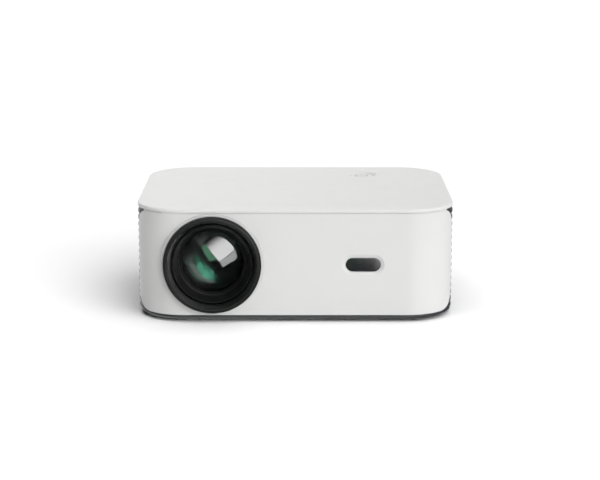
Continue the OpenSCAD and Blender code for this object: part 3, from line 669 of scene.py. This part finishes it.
def inner_glass_paint():
    """The inner lenses: a painted green reflection on the first one's lower left, the rest hardly reflects."""
    paint, depth = clear_glass("inner_glass", 1.42, 0.02)
    # Painted reflection: the specular tint is green only in a crescent and disc set by position, so where the
    # green reflection shows is painted on
    way = paint.along(paint.place, PAINTED_GREEN_WAY)
    edge = (LENS.x * PAINTED_GREEN_WAY[0] + LENS.z * PAINTED_GREEN_WAY[2] + PAINTED_GREEN_EDGE) * MM
    painted_green_zone = paint.times(paint.spread(way, 0, 1, edge - 0.2 * MM, edge + 0.2 * MM),
                       paint.spread(way, 0.55, 1, edge + 0.5 * MM, edge + 3.5 * MM))
    back = (RING_Y + PAINTED_GREEN_BACK) * MM
    first = paint.spread(depth, 1, 0, back, back + 0.1 * MM)
    flat = paint.node("VectorMath", operation="MULTIPLY")
    flat.inputs[1].default_value = (1, 0, 1)
    paint.link(paint.place, flat.inputs[0])
    away = paint.node("VectorMath", operation="DISTANCE")
    right, up, radius = PAINTED_GREEN_DISC
    away.inputs[1].default_value = ((LENS.x + right) * MM, 0, (LENS.z + up) * MM)
    paint.link(flat.outputs["Vector"], away.inputs[0])
    disc = paint.spread(away.outputs["Value"], 1, 0.25, (radius - 0.4) * MM, (radius + 0.4) * MM)
    # Painted reflection colours: near black outside the painted zone, green inside it
    paint.colours(paint.times(paint.times(painted_green_zone, first), disc), (0.0, (0.03, 0.03, 0.03)),
                  (0.3, (0.1, 0.22, 0.17)), (1.0, (0.16, 1.0, 0.64)), socket="Specular Tint")
    return paint


def board_paint():
    """Green solder mask with copper tracks that show through."""
    paint = Paint("board_green", Coat_Weight=0.4, Coat_Roughness=0.12)
    tracks = paint.texture("Brick", 26)
    tracks.inputs["Mortar Size"].default_value = 0.012
    paint.colours(tracks.outputs["Fac"], (0.0, (0.006, 0.062, 0.026)), (1.0, (0.02, 0.17, 0.06)))
    paint.rough(paint.noise(3, 3.0), 0.3, 0.42)
    paint.bump(tracks.outputs["Fac"], 0.03)
    return paint


def ringed_paint(name, colour, rough, pitch, depth, **inputs):
    """A surface turned on a lathe: fine rings round the lens axis."""
    paint = Paint(name, **inputs)
    centre = paint.node("Mapping")
    centre.inputs["Location"].default_value = (-LENS.x * MM, 0, -LENS.z * MM)
    paint.link(paint.place, centre.inputs["Vector"])
    rings = paint.texture("Wave", pitch * WAVES, centre.outputs["Vector"],
                          wave_type="RINGS", rings_direction="Y")
    rings.inputs["Distortion"].default_value = 0.4
    paint.colours(paint.noise(12, 3.0), (0.3, shade(colour, 0.9)), (0.7, shade(colour, 1.12)))
    paint.rough(paint.noise(4, 4.0), rough - 0.03, rough + 0.05)
    paint.bump(rings.outputs["Fac"], depth)
    paint.bump(paint.noise(0.4, 2.0), depth * 0.6)
    return paint


def foam_paint():
    """Open-cell filter foam."""
    paint = Paint("filter_foam")
    cells = paint.texture("Voronoi", 0.9).outputs["Distance"]
    paint.colours(cells, (0.1, (0.004, 0.004, 0.005)), (0.6, (0.06, 0.062, 0.066)))
    paint.rough(cells, 0.8, 0.95)
    paint.bump(cells, 0.4)
    return paint


def fresnel_paint():
    """Acrylic with fine concentric grooves."""
    paint = Paint("fresnel_acrylic", Base_Color=(0.9, 0.96, 1.0), Transmission_Weight=0.85, IOR=1.49)
    grooves = paint.texture("Wave", 0.8 * WAVES, wave_type="RINGS", rings_direction="X").outputs["Fac"]
    paint.rough(grooves, 0.08, 0.2)
    paint.bump(grooves, 0.05)
    return paint


def ribbon_paint():
    """Amber film with copper lines along it."""
    paint = Paint("ribbon_film", Coat_Weight=0.5)
    lines = paint.texture("Wave", WAVES, wave_type="BANDS", bands_direction="Y").outputs["Fac"]
    paint.colours(lines, (0.3, (0.36, 0.13, 0.02)), (0.6, (0.62, 0.3, 0.07)))
    paint.rough(lines, 0.25, 0.4)
    paint.bump(lines, 0.02)
    return paint


def cone_paint():
    """Pressed paper with short fibres."""
    paint = Paint("cone_paper")
    fibres = paint.noise(0.5, 5.0, (1, 4, 1), 0.7)
    paint.colours(fibres, (0.3, (0.012, 0.012, 0.013)), (0.75, (0.05, 0.048, 0.046)))
    paint.rough(fibres, 0.75, 0.9)
    paint.bump(fibres, 0.05)
    return paint


def make_materials():
    """One material for each slot of the record."""
    paints = [
        moulded("white_shell", (0.592, 0.592, 0.588), 0.5, 0.28, 0.003, 0.008, Specular_IOR_Level=0.12),
        moulded("dark_shell", (0.034, 0.035, 0.037), 0.5, 0.3, 0.012, 0.1, Specular_IOR_Level=0.2),
        moulded("frame_black", (0.018, 0.018, 0.019), 0.55, 0.4, 0.015, 0.12),
        moulded("ring_black", (0.0062, 0.0063, 0.0064), 0.38, 0.25, 0.006, 0.1, Specular_IOR_Level=0.13),
        ringed_paint("barrel_black", (0.004, 0.0041, 0.0042), 0.4, 0.35, 0.01, Specular_IOR_Level=0.05),
        front_glass_paint(),
        inner_glass_paint(),
        moulded("window_smoke", (0.012, 0.011, 0.013), 0.2, 0.9, 0.002, 0.2,
                Coat_Weight=0.6, Coat_Roughness=0.08),
        moulded("foot_rubber", (0.015, 0.015, 0.015), 0.82, 0.5, 0.03, 0.15),
        metal("zinc_screw", (0.56, 0.56, 0.58), 0.32),
        metal("brass_insert", (0.72, 0.5, 0.2), 0.3, 0.4, (1, 1, 4)),
        board_paint(),
        moulded("chip_black", (0.014, 0.014, 0.015), 0.6, 0.2, 0.01, 0.15),
        metal("socket_metal", (0.66, 0.66, 0.67), 0.27, 0.5, (6, 1, 1)),
        moulded("jack_plastic", (0.02, 0.02, 0.021), 0.4, 0.3, 0.01, 0.1),
        moulded("jack_yellow", (0.7, 0.42, 0.03), 0.4, 0.3, 0.01, 0.08),
        metal("sink_aluminium", (0.7, 0.71, 0.72), 0.35, 0.5, (12, 1, 1), 0.008),
        metal("mirror_face", (0.88, 0.89, 0.9), 0.1, 4.0, (1, 1, 1), 0.0005),
        metal("reflector_metal", (0.82, 0.83, 0.84), 0.18, 2.0, (1, 6, 1), 0.002),
        fresnel_paint(),
        moulded("display_glass", (0.02, 0.022, 0.03), 0.12, 6.0, 0.001, 0.2,
                Coat_Weight=1.0, Coat_Roughness=0.03),
        metal("lamp_board", (0.74, 0.44, 0.28), 0.4, 0.5, (1, 1, 6)),
        moulded("fan_black", (0.017, 0.017, 0.018), 0.38, 0.5, 0.006, 0.1),
        foam_paint(),
        cone_paint(),
        ribbon_paint(),
        moulded("lead_red", (0.42, 0.02, 0.018), 0.42, 0.6, 0.01, 0.1),
    ]
    return {paint.slot: paint.material for paint in paints}


MATERIALS = make_materials()


# ---------- casing ----------

def panel_edge(z, grow=0.0):
    """Y of the front panel's end at height z, with its outline made larger by grow."""
    radius = PANEL_END_R + grow
    over = max(PANEL_Z0 + PANEL_END_R - z, z - PANEL_Z1 + PANEL_END_R, 0.0)
    return PANEL_END_Y - PANEL_END_R + math.sqrt(max(radius * radius - over * over, 0.0))


def panel_outline():
    """Edge of the front panel as (s, z), with rounded ends."""
    centre_y = PANEL_END_Y - PANEL_END_R
    low, high = PANEL_Z0 + PANEL_END_R, PANEL_Z1 - PANEL_END_R
    end = arc((centre_y, low), PANEL_END_R, -90, 0, 28) + arc((centre_y, high), PANEL_END_R, 0, 90, 28)
    right = [(OUTLINE.s_of_y(y, SKIN_IN), z) for y, z in end]
    return resampled(right + [(-s, z) for s, z in reversed(right)], 4.0)


def wall_grid(s0, s1, z0, z1, rows):
    heights = [z0 + (z1 - z0) * k / rows for k in range(1, rows)]
    return [(s, z) for s in OUTLINE.columns(s0, s1) for z in heights]


def window_loop(grow):
    return pill(WINDOW_X, WINDOW_Z, WINDOW_L + 2 * grow, WINDOW_H + 2 * grow)


def front_panel():
    """White skin with rounded ends, a collar round the focus ring and a sloping seat for the window."""
    shape = Shape()
    turns = 192
    rim = circle(LENS.x, LENS.z, COLLAR_R - COLLAR_FOOT, turns)
    hole = [(OUTLINE.s_of_x(x, SKIN_IN), z) for x, z in rim]
    outer = panel_outline()
    edge = max(s for s, _ in outer)
    skin(shape, [(outer, 0.3), (hole, COLLAR_GROOVE), (window_loop(WINDOW_SLOPE), 0.25)],
         OUTLINE.surface, SKIN_IN, SKIN_T, wall_grid(-edge, edge, PANEL_Z0, PANEL_Z1, 16))

    # Lip behind the seam with the lid
    lip = rounded_box(-LIP_IN - LIP_T, -LIP_IN, PANEL_Z1 - LIP_DOWN, PANEL_Z1 + LIP_UP, 0.06, 2)
    sweep_wall(shape, lip, OUTLINE.columns(-edge + LIP_SHORT, edge - LIP_SHORT))

    # Collar
    section = rounded([(COLLAR_BORE, COLLAR_S, 0.12), (COLLAR_R, COLLAR_S, COLLAR_ROUND),
                       (COLLAR_R, COLLAR_END_S, 0.2), (COLLAR_BORE, COLLAR_END_S, 0.2)], 6)
    lathe(shape, section, lens_place, turns)

    # Seat of the window
    face_y = MID_Y - HALF_D + SKIN_IN
    loop = window_loop(0)
    out = edge_normals(loop)
    behind = Vector((0, 1, 0))

    def where(k, grow, depth):
        (u, v), m = loop[k], out[k]
        away = Vector((m[0], 0, m[1]))
        return Vector((u, face_y + depth, v)) + away * grow, away, behind

    slope = rounded([(WINDOW_SLOPE + 0.1, 0.14, 0), (0.04, WINDOW_DEPTH, 0.15), (0.04, SKIN_T, 0),
                     (WINDOW_SLOPE + 0.1, SKIN_T, 0)])
    sweep(shape, slope, len(loop), where)
    finish_piece(shape, "front_skin", "housing", "white_shell", "front_panel")


def top_cover():
    """White lid with a rounded edge, a dish for the button, a snap rim and posts for the button's board."""
    shape = Shape()
    grid = [(x, y) for x in range(-96, 97, 8) for y in range(-66, 75, 8)]
    plan, cx, cy = [], HALF_W - CORNER_R, HALF_D - CORNER_R
    for (sx, sy), start in zip(((1, -1), (1, 1), (-1, 1), (-1, -1)), (-90, 0, 90, 180)):
        plan += arc((sx * cx, MID_Y + sy * cy), CORNER_R, start, start + 90, 45)
    hole = circle(BUTTON_X, BUTTON_Y, DISH_R, 96)
    skin(shape, [(resampled(plan, 5.0), COVER_ROUND), (hole, 0.3)], level(TOP_Z), 0.0, COVER_T, grid)
    bore = BUTTON_R + 0.2
    cover_z0 = TOP_Z - COVER_T
    dish = rounded([(DISH_R + 0.3, TOP_Z - 0.16, 0), (bore, TOP_Z - DISH_DEPTH, 0.2), (bore, cover_z0, 0.1),
                    (DISH_R + 0.3, cover_z0, 0)])
    lathe(shape, dish, upright(BUTTON_X, BUTTON_Y), 96)
    board_top = box_mm("button_board")[1].z
    for side in (-1, 1):
        post = rounded([(0, board_top, 0), (POST_R, board_top, 0.2), (POST_R, cover_z0 + 0.1, 0),
                        (0, cover_z0 + 0.1, 0)])
        lathe(shape, post, upright(BUTTON_X, BUTTON_Y + side * POST_OUT), 32)
    rim = rounded_box(-SNAP_IN - SNAP_T, -SNAP_IN, cover_z0 - SNAP_DOWN, cover_z0 + 0.2, 0.2, 2)
    middle_side = OUTLINE.side + OUTLINE.flat_y
    for middle, half in ((0, 40), (middle_side, 25), (-middle_side, 25)):
        sweep_wall(shape, rim, [middle - half, middle + half])
    rear = OUTLINE.back + OUTLINE.flat_x
    for side in (-1, 1):
        sweep_wall(shape, rim, [side * (rear - 40), side * (rear - 1)])
    finish_piece(shape, "top_shell", "housing", "white_shell", "top_cover")


def sweep_wall(shape, section, stops, start_of=None):
    """Carries a section of (outward, z) along the casing, through stops or where start_of(k, z) says."""
    def where(k, a, b):
        s = stops[k] if start_of is None else start_of(k, b)
        point, normal, _, up = OUTLINE.surface(s, b)
        return point + normal * a, normal, up
    sweep(shape, section, len(stops), where, closed=False)


def grille(side):
    """Dark ribbed wall from the front panel's end to the rear panel, with air slots between the ribs."""
    shape = Shape()
    end_s = OUTLINE.back + OUTLINE.flat_x - REAR_HALF - SEAM
    first_y = PANEL_END_Y - PANEL_END_R + 1

    def start_s(z, inset=BACK_IN):
        return OUTLINE.s_of_y(max(first_y, panel_edge(z, SEAM)), inset)

    low, high = PANEL_Z0, PANEL_Z1
    reach = PANEL_END_R + SEAM
    heights = [low + PANEL_END_R - reach * math.cos(math.pi / 48 * k) for k in range(25)]
    heights = [z for z in heights if z > low + 0.2]
    heights = [low] + heights + [low + high - z for z in reversed(heights)] + [high]
    edge = [(start_s(z), z) for z in reversed(heights)]
    along = OUTLINE.columns(start_s(low) + 0.5, end_s - 0.5)
    outer = [(s, low) for s in along] + [(end_s, low + (high - low) * k / 16) for k in range(17)]
    outer += [(s, high) for s in reversed(along)] + edge
    loops = [(outer, 0.2)]
    for i in range(1, RIB_COUNT - 2):
        z = RIB_Z0 + i * RIB_PITCH + RIB_H
        for centre_y in SLOT_CENTRES:
            s = OUTLINE.side + centre_y - MID_Y + OUTLINE.flat_y
            slot = rounded_box(s - SLOT_L / 2, s + SLOT_L / 2, z + 0.1, z + RIB_PITCH - RIB_H - 0.1, 0.5, 3)
            loops.append((resampled(slot, 6.0), 0.1))
    rows = [RIB_Z0 + i * RIB_PITCH + RIB_H / 2 for i in range(RIB_COUNT)]
    grid = [(s, z) for s in OUTLINE.columns(start_s(PANEL_Z0), end_s) for z in rows]
    skin(shape, loops, OUTLINE.surface, BACK_IN, BACK_T, grid, 0.1)

    bars = [(low, RIB_Z0 - RIB_PITCH + RIB_H)]
    bars += [(RIB_Z0 + i * RIB_PITCH, RIB_Z0 + i * RIB_PITCH + RIB_H) for i in range(RIB_COUNT)]
    for z0, z1 in bars:
        soft = RIB_ROUND if z1 - z0 > 2 * RIB_ROUND + 0.2 else 0.4
        section = rounded([(-BACK_IN - 0.5, z0, 0), (-RIB_IN, z0, soft), (-RIB_IN, z1, soft),
                           (-BACK_IN - 0.5, z1, 0)], 4)
        clear_s = max(start_s(z, RIB_IN) for _, z in section) + 0.5
        lead = 8
        rest = OUTLINE.columns(clear_s + 0.3, end_s) + [end_s]

        def start_of(k, z):
            if k > lead:
                return rest[k - lead - 1]
            s = start_s(z, RIB_IN)
            return s + (clear_s - s) * k / lead

        sweep_wall(shape, section, [0] * (lead + 1 + len(rest)), start_of)
    if side < 0:
        shape.mirror_x()
    name = "left" if side < 0 else "right"
    finish_piece(shape, name + "_ribs", "housing", "dark_shell", name + "_grille")


def rear_panel():
    """Dark plate with the openings for the sockets and a block of air slots."""
    shape = Shape()
    rear_y = MID_Y + HALF_D

    def surface(x, z):
        return Vector((x, rear_y, z)), Vector((0, 1, 0)), Vector((1, 0, 0)), Vector((0, 0, 1))

    loops = [(resampled(rounded_box(-REAR_HALF, REAR_HALF, PANEL_Z0, PANEL_Z1, 0.6, 3), 6.0), 0.5)]
    for node, w, h in PORTS:
        for x, z in port_centres(node):
            if node == "power_inlet":
                hole = pill(x, z, w, h)
            elif w == h:
                hole = circle(x, z, w / 2)
            else:
                hole = rounded_box(x - w / 2, x + w / 2, z - h / 2, z + h / 2, 1.0)
            loops.append((hole, 0.35))
    for i in range(5):
        for c in (-1.5, -0.5, 0.5, 1.5):
            x, z = c * REAR_SLOT_PITCH, REAR_SLOT_Z + i * RIB_PITCH
            half = REAR_SLOT_L / 2
            slot = rounded_box(x - half, x + half, z, z + RIB_PITCH - RIB_H, 1.1, 6)
            loops.append((resampled(slot, 5.0), 0.3))
    grid = [(x, z) for x in range(-55, 56, 10) for z in range(8, 70, 8)]
    skin(shape, loops, surface, SKIN_IN, SKIN_T, grid)
    finish_piece(shape, "rear_plate", "housing", "dark_shell", "rear_panel")


def port_centres(node):
    """Middle of each socket in a node; the USB node has two, side by side."""
    low, high = box_mm(node)
    z = (low.z + high.z) / 2
    if node == "usb_sockets":
        return [(low.x + USB_W / 2, z), (high.x - USB_W / 2, z)]
    return [((low.x + high.x) / 2, z)]


def remote_window():
    """Smoked window with a slight crown."""
    shape = Shape()
    face = WINDOW_LOW.y

    def surface(x, z):
        p = (x - WINDOW_X) / (WINDOW_L / 2)
        q = (z - WINDOW_Z) / (WINDOW_H / 2)
        rise = WINDOW_CROWN * (1 - 0.9 * p * p - 0.1 * q * q)
        du = Vector((1, WINDOW_CROWN * 1.8 * p / (WINDOW_L / 2), 0)).normalized()
        dv = Vector((0, WINDOW_CROWN * 0.2 * q / (WINDOW_H / 2), 1)).normalized()
        return Vector((x, face - rise, z)), dv.cross(du).normalized() * -1, du, dv

    grid = [(WINDOW_X - 11 + i, WINDOW_Z - 4 + j) for i in range(23) for j in range(9)]
    skin(shape, [(window_loop(-0.03), 0.3)], surface, 0.0, WINDOW_HIGH.y - face, grid)
    finish_piece(shape, "window_lens", "housing", "window_smoke", "remote_window")


def power_button():
    """Round button with an engraved power mark: an open ring and a bar."""
    shape = Shape()
    place = upright(BUTTON_X, BUTTON_Y)
    top, low = BUTTON_HIGH.z, BUTTON_LOW.z
    flange_top = TOP_Z - COVER_T - 0.15
    flange_r = BUTTON_R + FLANGE_W
    body = rounded([(0, low, 0), (STEM_R, low, 0.2), (STEM_R, flange_top - 1, 0.2),
                    (flange_r, flange_top - 1, 0.2), (flange_r, flange_top, 0.2), (BUTTON_R, flange_top, 0.1),
                    (BUTTON_R, top - MARK_DEPTH, 0), (0, top - MARK_DEPTH, 0)])
    lathe(shape, body, place, 96)
    half = MARK_W / 2
    ring_out = arc((BUTTON_X, BUTTON_Y), MARK_R + half, 120, 420, 60)
    ring_in = arc((BUTTON_X, BUTTON_Y), MARK_R - half, 420, 120, 60)
    bar = [(BUTTON_X - v, BUTTON_Y + MARK_BAR_OUT + u) for u, v in pill(0, 0, MARK_BAR, MARK_W, 6)]
    grid = [(BUTTON_X - 7.5 + i, BUTTON_Y - 7.5 + j) for i in range(16) for j in range(16)]
    skin(shape, [(circle(BUTTON_X, BUTTON_Y, BUTTON_R, 96), 0.3), (ring_out + ring_in, 0.06), (bar, 0.06)],
         level(top), 0.0, MARK_DEPTH + 0.05, grid, 0.0)
    finish_piece(shape, "button_cap", "button", "white_shell", "power_button")


# ---------- projection lens ----------

def focus_ring():
    """Ring with a rounded lip, a sloping mouth and fine grip teeth."""
    shape = Shape()
    bore = BARREL_R + 0.7
    mount_bore = BARREL_R + 2.68
    groove_r = BARREL_R + 4.1
    flange_r = RING_R + 1.3
    groove_0, groove_1 = PIN_S - GROOVE_HALF, PIN_S + GROOVE_HALF
    profile = rounded([
        (RING_R - 2.6, 0.0, 0.5), (RING_R, 0.0, LIP_R), (RING_R, GRIP_END, 0.1), (flange_r, GRIP_END, 0.3),
        (flange_r, RING_FLANGE_END, 0.3), (RING_R, RING_FLANGE_END, 0), (RING_R, RING_END, 0.4),
        (mount_bore, RING_END, 0.2), (mount_bore, groove_1, 0), (groove_r, groove_1, 0),
        (groove_r, groove_0, 0), (mount_bore, groove_0, 0), (mount_bore, RING_FLANGE_END, 0),
        (bore, RING_FLANGE_END, 0.2), (bore, RIM_S, 1.2)], 8)
    fine = []
    for i, (r, s) in enumerate(profile):
        fine.append((r, s))
        nr, ns = profile[(i + 1) % len(profile)]
        if r > RING_R - 0.2 and nr > RING_R - 0.2 and ns - s > 3 and s < 5:
            fine += [(r, TOOTH_START), (r, TOOTH_START + 0.5), (r, ns - 0.3)]

    def teeth(r, s, a):
        if not (TOOTH_START < s < GRIP_END - 0.1 and r > RING_R - 0.3):
            return r
        wave = 0.5 + 0.5 * math.cos(a * TEETH)
        return r - TOOTH_DEPTH * (1 - wave ** 0.6)

    lathe(shape, fine, lens_place, TEETH * 6, teeth)
    finish_piece(shape, "grip_ring", "focus_ring", "ring_black", "focus_ring")


def lens_barrel():
    """Barrel with a bevelled front rim and a cone that leads down to the glass."""
    shape = Shape()
    throat = GLASS_R + 0.15
    middle, rear = MIDDLE_R + 0.1, REAR_R + 0.1
    middle_step, rear_step = MIDDLE_S - 1, REAR_S - 0.9
    rim_s, glass_end = GLASS_S - 0.6, GLASS_S + 2.42
    profile = rounded([
        (BARREL_R - 0.9, RIM_S, 0.25), (BARREL_R, RIM_S, 0.35), (BARREL_R, WAIST_S, 0.3),
        (WAIST_R, WAIST_S, 0.3), (WAIST_R, WAIST_END, 0.3), (BARREL_R, WAIST_END, 0.3),
        (BARREL_R, BARREL_END, 0.3), (rear, BARREL_END, 0.2), (rear, rear_step, 0), (middle, rear_step, 0),
        (middle, middle_step, 0.2), (throat - 1, middle_step, 0.2), (throat - 1, glass_end, 0),
        (throat, glass_end, 0), (throat, rim_s, 0), (BAFFLE_R, rim_s, 0), (BAFFLE_R, GLASS_S - 2.4, 0),
        (BAFFLE_R + 0.6, GLASS_S - 2.6, 0.2)], 5)
    lathe(shape, profile, lens_place, 256)
    finish_piece(shape, "barrel_tube", "lens_group", "barrel_black", "lens_barrel")


def lens_retainer():
    """Baffle ring in front of the glass."""
    shape = Shape()
    rim = BAFFLE_R - 0.1
    profile = rounded([(rim, GLASS_S - 2.5, 0.15), (rim, GLASS_S - 0.7, 0),
                       (GLASS_R - 0.4, GLASS_S - 0.7, 0.1), (GLASS_R - 0.1, GLASS_S - 1.5, 0.2)])
    lathe(shape, profile, lens_place, 256)
    finish_piece(shape, "clamp_ring", "lens_group", "barrel_black", "lens_retainer")


def lens_element(name, node, slot, radius, s0, s1, bulge_front, bulge_back):
    """A lens from its rim, s0 to s1, with faces that rise or sink by their bulge in the middle."""
    def cap(bulge, s, way):
        curve = (radius * radius + bulge * bulge) / (2 * abs(bulge))
        found = []
        for k in range(25):
            r = radius * k / 24
            rise = math.copysign(math.sqrt(curve * curve - r * r) - (curve - abs(bulge)), bulge)
            found.append((r, s + way * rise))
        return found

    shape = Shape()
    profile = cap(bulge_front, s0, -1) + cap(bulge_back, s1, 1)[::-1]
    lathe(shape, profile, lens_place, 128, smooth=30)
    finish_piece(shape, name, "lens_group", slot, node)


# ---------- what the CAD already shapes ----------

def finish_cad_nodes():
    """Softens the edges of the CAD nodes that stay and gives each its material."""
    for part in frame["record"]["subparts"]:
        node = frame["nodes"][part["node"]]
        node.data.materials.clear()
        node.data.materials.append(MATERIALS[part["material_slot"]])
        if node.hide_render:
            continue
        weld = node.modifiers.new("weld", "WELD")
        weld.merge_threshold = 0.002 * MM
        bevel = node.modifiers.new("edges", "BEVEL")
        bevel.width = EDGE_SIZES.get(part["node"], 0.15) * MM
        bevel.segments = 2
        bevel.limit_method = "ANGLE"
        bevel.angle_limit = math.radians(40)
        bevel.harden_normals = True


# ---------- floor, light and camera ----------

def direction(azimuth, elevation):
    """A direction in degrees: azimuth from the front towards the right, elevation upwards."""
    a, e = math.radians(azimuth), math.radians(elevation)
    return Vector((math.sin(a) * math.cos(e), -math.cos(a) * math.cos(e), math.sin(e)))


class Sky(Nodes):
    """The world's shader, built up from patches of light by direction."""

    def __init__(self):
        self.world = bpy.data.worlds.new("studio")
        self.world.use_nodes = True
        self.world.cycles.sampling_method = "NONE"
        self.tree = self.world.node_tree
        self.tree.nodes.clear()
        self.way = self.node("TexCoord").outputs["Generated"]
        self.ray = self.node("LightPath")

    def side_of(self, normal, start, end, most=1.0):
        """Rises from 0 to most as the direction's part along normal goes from start to end."""
        step = self.node("MapRange", interpolation_type="SMOOTHSTEP")
        step.inputs["From Min"].default_value = start
        step.inputs["From Max"].default_value = end
        step.inputs["To Max"].default_value = most
        self.link(self.along(self.way, normal), step.inputs["Value"])
        return step.outputs["Result"]

    def glow(self, strength, tint=(1, 1, 1)):
        made = self.node("Background")
        made.inputs["Color"].default_value = (*tint, 1)
        if isinstance(strength, (int, float)):
            made.inputs["Strength"].default_value = strength
        else:
            self.link(strength, made.inputs["Strength"])
        return made.outputs[0]

    def panel(self, strength, corners, fades=(), tint=(1, 1, 1)):
        """A light panel with corners at (azimuth, elevation) in degrees; fades softens each side."""
        ways = [direction(*corner) for corner in corners]
        middle = sum(ways, Vector())
        inside_all = None
        for i, way in enumerate(ways):
            normal = way.cross(ways[(i + 1) % len(ways)]).normalized()
            if normal.dot(middle) < 0:
                normal.negate()
            fade = fades[i] if i < len(fades) else 0.012
            here = self.side_of(normal, 0, fade, 1.0 if i else strength)
            inside_all = here if inside_all is None else self.times(inside_all, here)
        return self.glow(inside_all, tint)

    def together(self, shaders):
        total = shaders[0]
        for shader in shaders[1:]:
            both = self.node("AddShader")
            self.link(total, both.inputs[0])
            self.link(shader, both.inputs[1])
            total = both.outputs[0]
        return total

    def choose(self, ray, other, chosen):
        made = self.node("MixShader")
        self.link(self.ray.outputs[ray], made.inputs[0])
        self.link(other, made.inputs[1])
        self.link(chosen, made.inputs[2])
        return made.outputs[0]


def make_floor():
    """A wide pale floor that glass and mirrors don't show."""
    size = 40.0
    mesh = bpy.data.meshes.new("floor")
    corners = [(-size, -size, 0), (size, -size, 0), (size, size, 0), (-size, size, 0)]
    mesh.from_pydata(corners, [], [(0, 1, 2, 3)])
    floor = bpy.data.objects.new("floor", mesh)
    bpy.context.scene.collection.objects.link(floor)
    paint = Paint("floor_white", Base_Color=(0.95, 0.95, 0.95), Roughness=0.8, Specular_IOR_Level=0.2)
    mesh.materials.append(paint.material)
    floor.visible_glossy = False
    floor.visible_transmission = False


def make_world():
    """A white room for the camera, soft light from the right and above, and light panels in reflections."""
    sky = Sky()
    ambient = sky.together([
        sky.glow(0.02),
        sky.glow(sky.side_of(direction(*TOP_WAY), *TOP_EDGE, TOP_POWER)),
        sky.glow(sky.side_of(direction(*KEY_WAY), *KEY_EDGE, KEY_POWER)),
    ])
    mirrored = sky.together([
        sky.glow(0.004),
        # The soft box, its dimmer lower step, the green strip and the grey wall above them
        sky.panel(11.0, [(-22, 28), (10, 50), (38, 34), (49, 14), (11, -10)], [0.45]),
        sky.panel(5.5, [(11, -10), (49, 14), (50, -5), (18, -22)]),
        sky.panel(2.8, [(-27, 18), (-22, 28), (8, -4), (-9, -9)], [], (0.36, 1.0, 0.6)),
        sky.panel(0.7, [(-50, 30), (-31, 54), (6, 57), (10, 50), (-22, 28), (-27, 18)]),
        # Broad glows: from behind on the left, overhead, on the right and at the back
        sky.glow(sky.times(sky.side_of((-0.355, 0.862, -0.359), -0.3, -0.16, 1.5),
                           sky.side_of((-1, 0, 0), -0.15, 0.1))),
        sky.glow(sky.side_of((0, 0, 1), 0.87, 0.93, 1.7)),
        sky.glow(sky.side_of((1, 0, 0), 0.92, 0.96, 0.9)),
        sky.glow(sky.side_of((0, 1, 0), 0.7, 0.9, 1.3)),
    ])
    lit = sky.choose("Diffuse Depth", mirrored, ambient)
    seen = sky.choose("Is Camera Ray", lit, sky.glow(1.0))
    sky.link(seen, sky.node("OutputWorld").inputs["Surface"])
    bpy.context.scene.world = sky.world


def make_camera():
    """Camera in front of the object and above it, looking 13 degrees down."""
    data = bpy.data.cameras.new("camera")
    data.lens = CAMERA_LENS
    data.sensor_width = 36
    data.clip_start, data.clip_end = 0.05, 100
    camera = bpy.data.objects.new("camera", data)
    camera.location = Vector(CAMERA_AT) * MM
    camera.rotation_euler = (math.radians(90 - CAMERA_PITCH), 0, 0)
    bpy.context.scene.collection.objects.link(camera)
    bpy.context.scene.camera = camera


make_camera()
make_world()
make_floor()

front_panel()
top_cover()
grille(1)
grille(-1)
rear_panel()
remote_window()
power_button()
focus_ring()
lens_barrel()
lens_retainer()
lens_element("front_glass", "front_lens", "coated_glass", GLASS_R, GLASS_S, GLASS_S + 2.2, 6.2, 2.3)
lens_element("middle_glass", "middle_lens", "inner_glass", MIDDLE_R, MIDDLE_S, MIDDLE_S + 7.2, -2.0, -2.2)
lens_element("rear_glass", "rear_lens", "inner_glass", REAR_R, REAR_S, REAR_S + 3.0, 2.2, 2.9)
finish_cad_nodes()

view = bpy.context.scene.view_settings
view.view_transform = "Standard"
view.look = "None"
